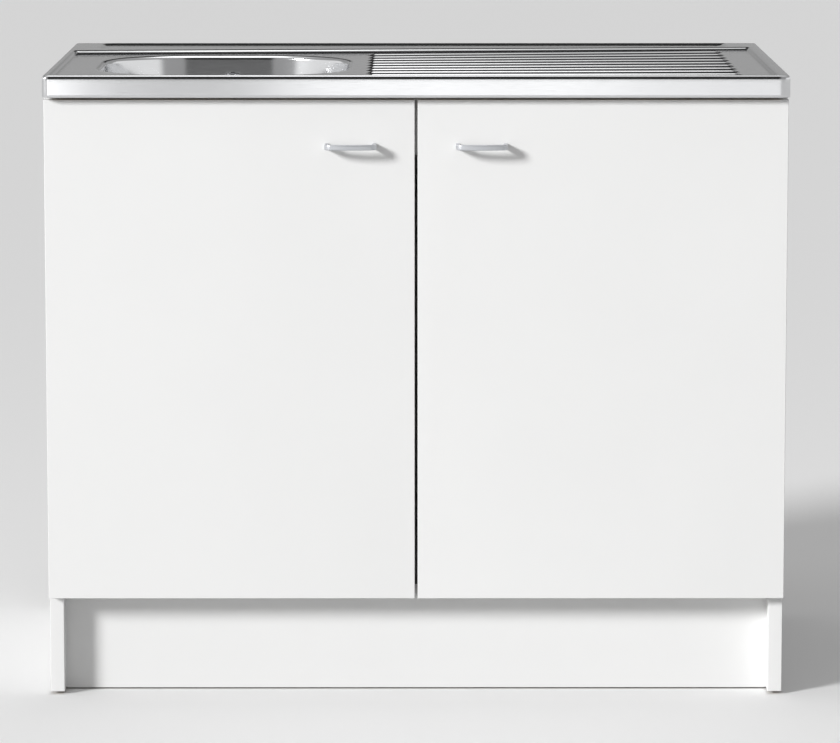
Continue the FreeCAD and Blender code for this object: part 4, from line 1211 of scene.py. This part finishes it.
@dataclass(frozen=True)
class Wall:
    """A tone of the surroundings over some directions: by how far aside they point, and how high.

    Each pair of directions is where the tone starts and where it is full.
    """

    tone: float
    aside_start: float
    aside_full: float
    top: tuple[float, float]
    foot: tuple[float, float] = (-1.0, -0.9)

    def over(self, view: Socket, aside: Socket, height: Socket, sheet: NodeSheet) -> Socket:
        """Lay the tone over what is seen so far.

        Args:
            view: the colour so far.
            aside: how far the direction points to either side.
            height: how high it points.
            sheet: the surroundings' nodes.

        Returns:
            The socket of the new colour.
        """
        share = None
        for source, (start, full) in ((aside, (self.aside_start, self.aside_full)), (height, self.top),
                                      (height, self.foot)):
            part = sheet.mapped(source, (min(start, full), max(start, full)),
                                (float(full < start), float(full > start)), eased=True)
            share = part if share is None else sheet.math("MULTIPLY", share, part)
        return sheet.blend(share, view, (self.tone,) * 3)


@dataclass(frozen=True)
class Studio:
    """Floor, lamps, surroundings and camera: places in metres, angles in degrees, lens in millimetres."""

    floor_size: float = 60.0
    floor_tone: float = 0.86
    floor_bounce: float = 0.35
    floor_roughness: float = 0.8
    surround_light: float = 0.40
    surround_tones: tuple[tuple[float, float], ...] = (
        (0.00, 0.42), (0.10, 0.40), (0.30, 0.36), (0.78, 0.42), (0.90, 0.85), (1.00, 1.0))
    side: Wall = Wall(0.97, 0.62, 0.76, (0.50, 0.34))
    card: Wall = Wall(0.03, 0.24, 0.14, (0.87, 0.76), (0.09, 0.18))
    key_direction: Place = (1.28, 1.0, -0.64)
    key_power: float = 3.25
    key_spread: float = 13.0
    softboxes: tuple[Softbox, ...] = (
        Softbox("front_softbox", (0.06, -3.4, 0.45), (0.06, 0.0, 0.45), 0.70, 0.7, 1.15),
        Softbox("front_right_softbox", (0.78, -3.4, 0.45), (0.78, 0.0, 0.45), 0.74, 0.7, 0.75),
        Softbox("front_left_softbox", (-1.10, -3.4, 0.45), (-1.10, 0.0, 0.45), 0.76, 0.7, 2.3),
        Softbox("top_softbox", (-0.2, 0.1, 2.9), (0.0, 0.0, 0.85), 1.8, 1.2, 8.0),
    )
    eye: Place = (-0.003, -6.118, 1.315)
    look_down: float = 7.34
    look_right: float = 0.08
    lens: float = 187.5
    sensor: float = 36.0
    shift: float = -0.10

    def floor(self) -> None:
        """Plain pale floor."""
        half = self.floor_size / 2
        mesh = bpy.data.meshes.new("floor")
        corners = [(-half, -half, 0.0), (half, -half, 0.0), (half, half, 0.0), (-half, half, 0.0)]
        mesh.from_pydata(corners, [], [(0, 1, 2, 3)])
        plane = bpy.data.objects.new("floor", mesh)
        bpy.context.scene.collection.objects.link(plane)
        surface = Surface("pale_floor")
        surface.tone(self.seen_rays(surface), (self.floor_bounce,) * 3, (self.floor_tone,) * 3)
        surface.set(Roughness=self.floor_roughness)
        mesh.materials.append(surface.material)

    @staticmethod
    def seen_rays(sheet: NodeSheet) -> Socket:
        """One for what the camera, reflections and clear pieces see, else zero.

        Args:
            sheet: the nodes to build in.

        Returns:
            The socket of the share.
        """
        path = sheet.nodes.new("ShaderNodeLightPath")
        share = path.outputs["Is Camera Ray"]
        for name in ("Is Glossy Ray", "Is Transmission Ray"):
            share = sheet.math("MAXIMUM", share, path.outputs[name])
        return share

    def surround(self) -> None:
        """Surroundings: an even light, and what the camera, reflections and clear pieces see.

        They see a grey wall under a white ceiling, by the height of the direction, a pale wall at
        either side, and a dark card in front and behind that gives the steel its dark lines.
        """
        world = bpy.data.worlds.new("studio")
        bpy.context.scene.world = world
        world.use_nodes = True
        sheet = NodeSheet(world.node_tree)
        light = sheet.nodes["Background"]
        light.inputs["Color"].default_value = (1.0, 1.0, 1.0, 1.0)
        light.inputs["Strength"].default_value = self.surround_light
        place = sheet.nodes.new("ShaderNodeTexCoord")
        split = sheet.nodes.new("ShaderNodeSeparateXYZ")
        sheet.link(place.outputs["Generated"], split.inputs[0])
        tones = sheet.nodes.new("ShaderNodeValToRGB")
        sheet.link(split.outputs["Z"], tones.inputs[0])
        marks = tones.color_ramp.elements
        for mark, (height, tone) in zip(marks, (self.surround_tones[0], self.surround_tones[-1])):
            mark.position = height
            mark.color = (tone, tone, tone, 1.0)
        for height, tone in self.surround_tones[1:-1]:
            marks.new(height).color = (tone, tone, tone, 1.0)
        aside = sheet.math("ABSOLUTE", split.outputs["X"])
        view = tones.outputs["Color"]
        for wall in (self.side, self.card):
            view = wall.over(view, aside, split.outputs["Z"], sheet)
        seen = sheet.nodes.new("ShaderNodeBackground")
        sheet.link(view, seen.inputs["Color"])
        mix = sheet.nodes.new("ShaderNodeMixShader")
        sheet.link(self.seen_rays(sheet), mix.inputs[0])
        sheet.link(light.outputs[0], mix.inputs[1])
        sheet.link(seen.outputs[0], mix.inputs[2])
        sheet.link(mix.outputs[0], sheet.nodes["World Output"].inputs["Surface"])

    def lamps(self) -> None:
        """Soft key from the upper left front, and softboxes that the steel reflects."""
        key = bpy.data.lights.new("key", "SUN")
        key.energy = self.key_power
        key.angle = math.radians(self.key_spread)
        lamp = bpy.data.objects.new("key", key)
        lamp.rotation_mode = "QUATERNION"
        lamp.rotation_quaternion = Vector(self.key_direction).to_track_quat("-Z", "Y")
        bpy.context.scene.collection.objects.link(lamp)
        for softbox in self.softboxes:
            softbox.build()

    def camera(self) -> None:
        """Camera at the photograph's viewing angle."""
        data = bpy.data.cameras.new("camera")
        data.lens = self.lens
        data.sensor_width = self.sensor
        data.shift_y = self.shift
        camera = bpy.data.objects.new("camera", data)
        camera.location = self.eye
        camera.rotation_euler = (math.radians(90.0 - self.look_down), 0.0, -math.radians(self.look_right))
        bpy.context.scene.collection.objects.link(camera)
        bpy.context.scene.camera = camera

    def build(self) -> None:
        """Set the studio up."""
        self.floor()
        self.surround()
        self.lamps()
        self.camera()
        bpy.context.scene.view_settings.view_transform = "Standard"


def main() -> None:
    """Build and dress the unit and set up the studio; the pieces and their finishes go to the log."""
    logging.basicConfig(level=logging.INFO, format="%(name)s %(message)s")
    finishes = Finishes()
    smoother = Smoother()
    SinkTop().build(finishes)
    Cabinet().build(finishes, smoother)
    Doors().build(finishes, smoother)
    Drain().build(finishes, smoother)
    Studio().build()


if __name__ == "__main__":
    main()
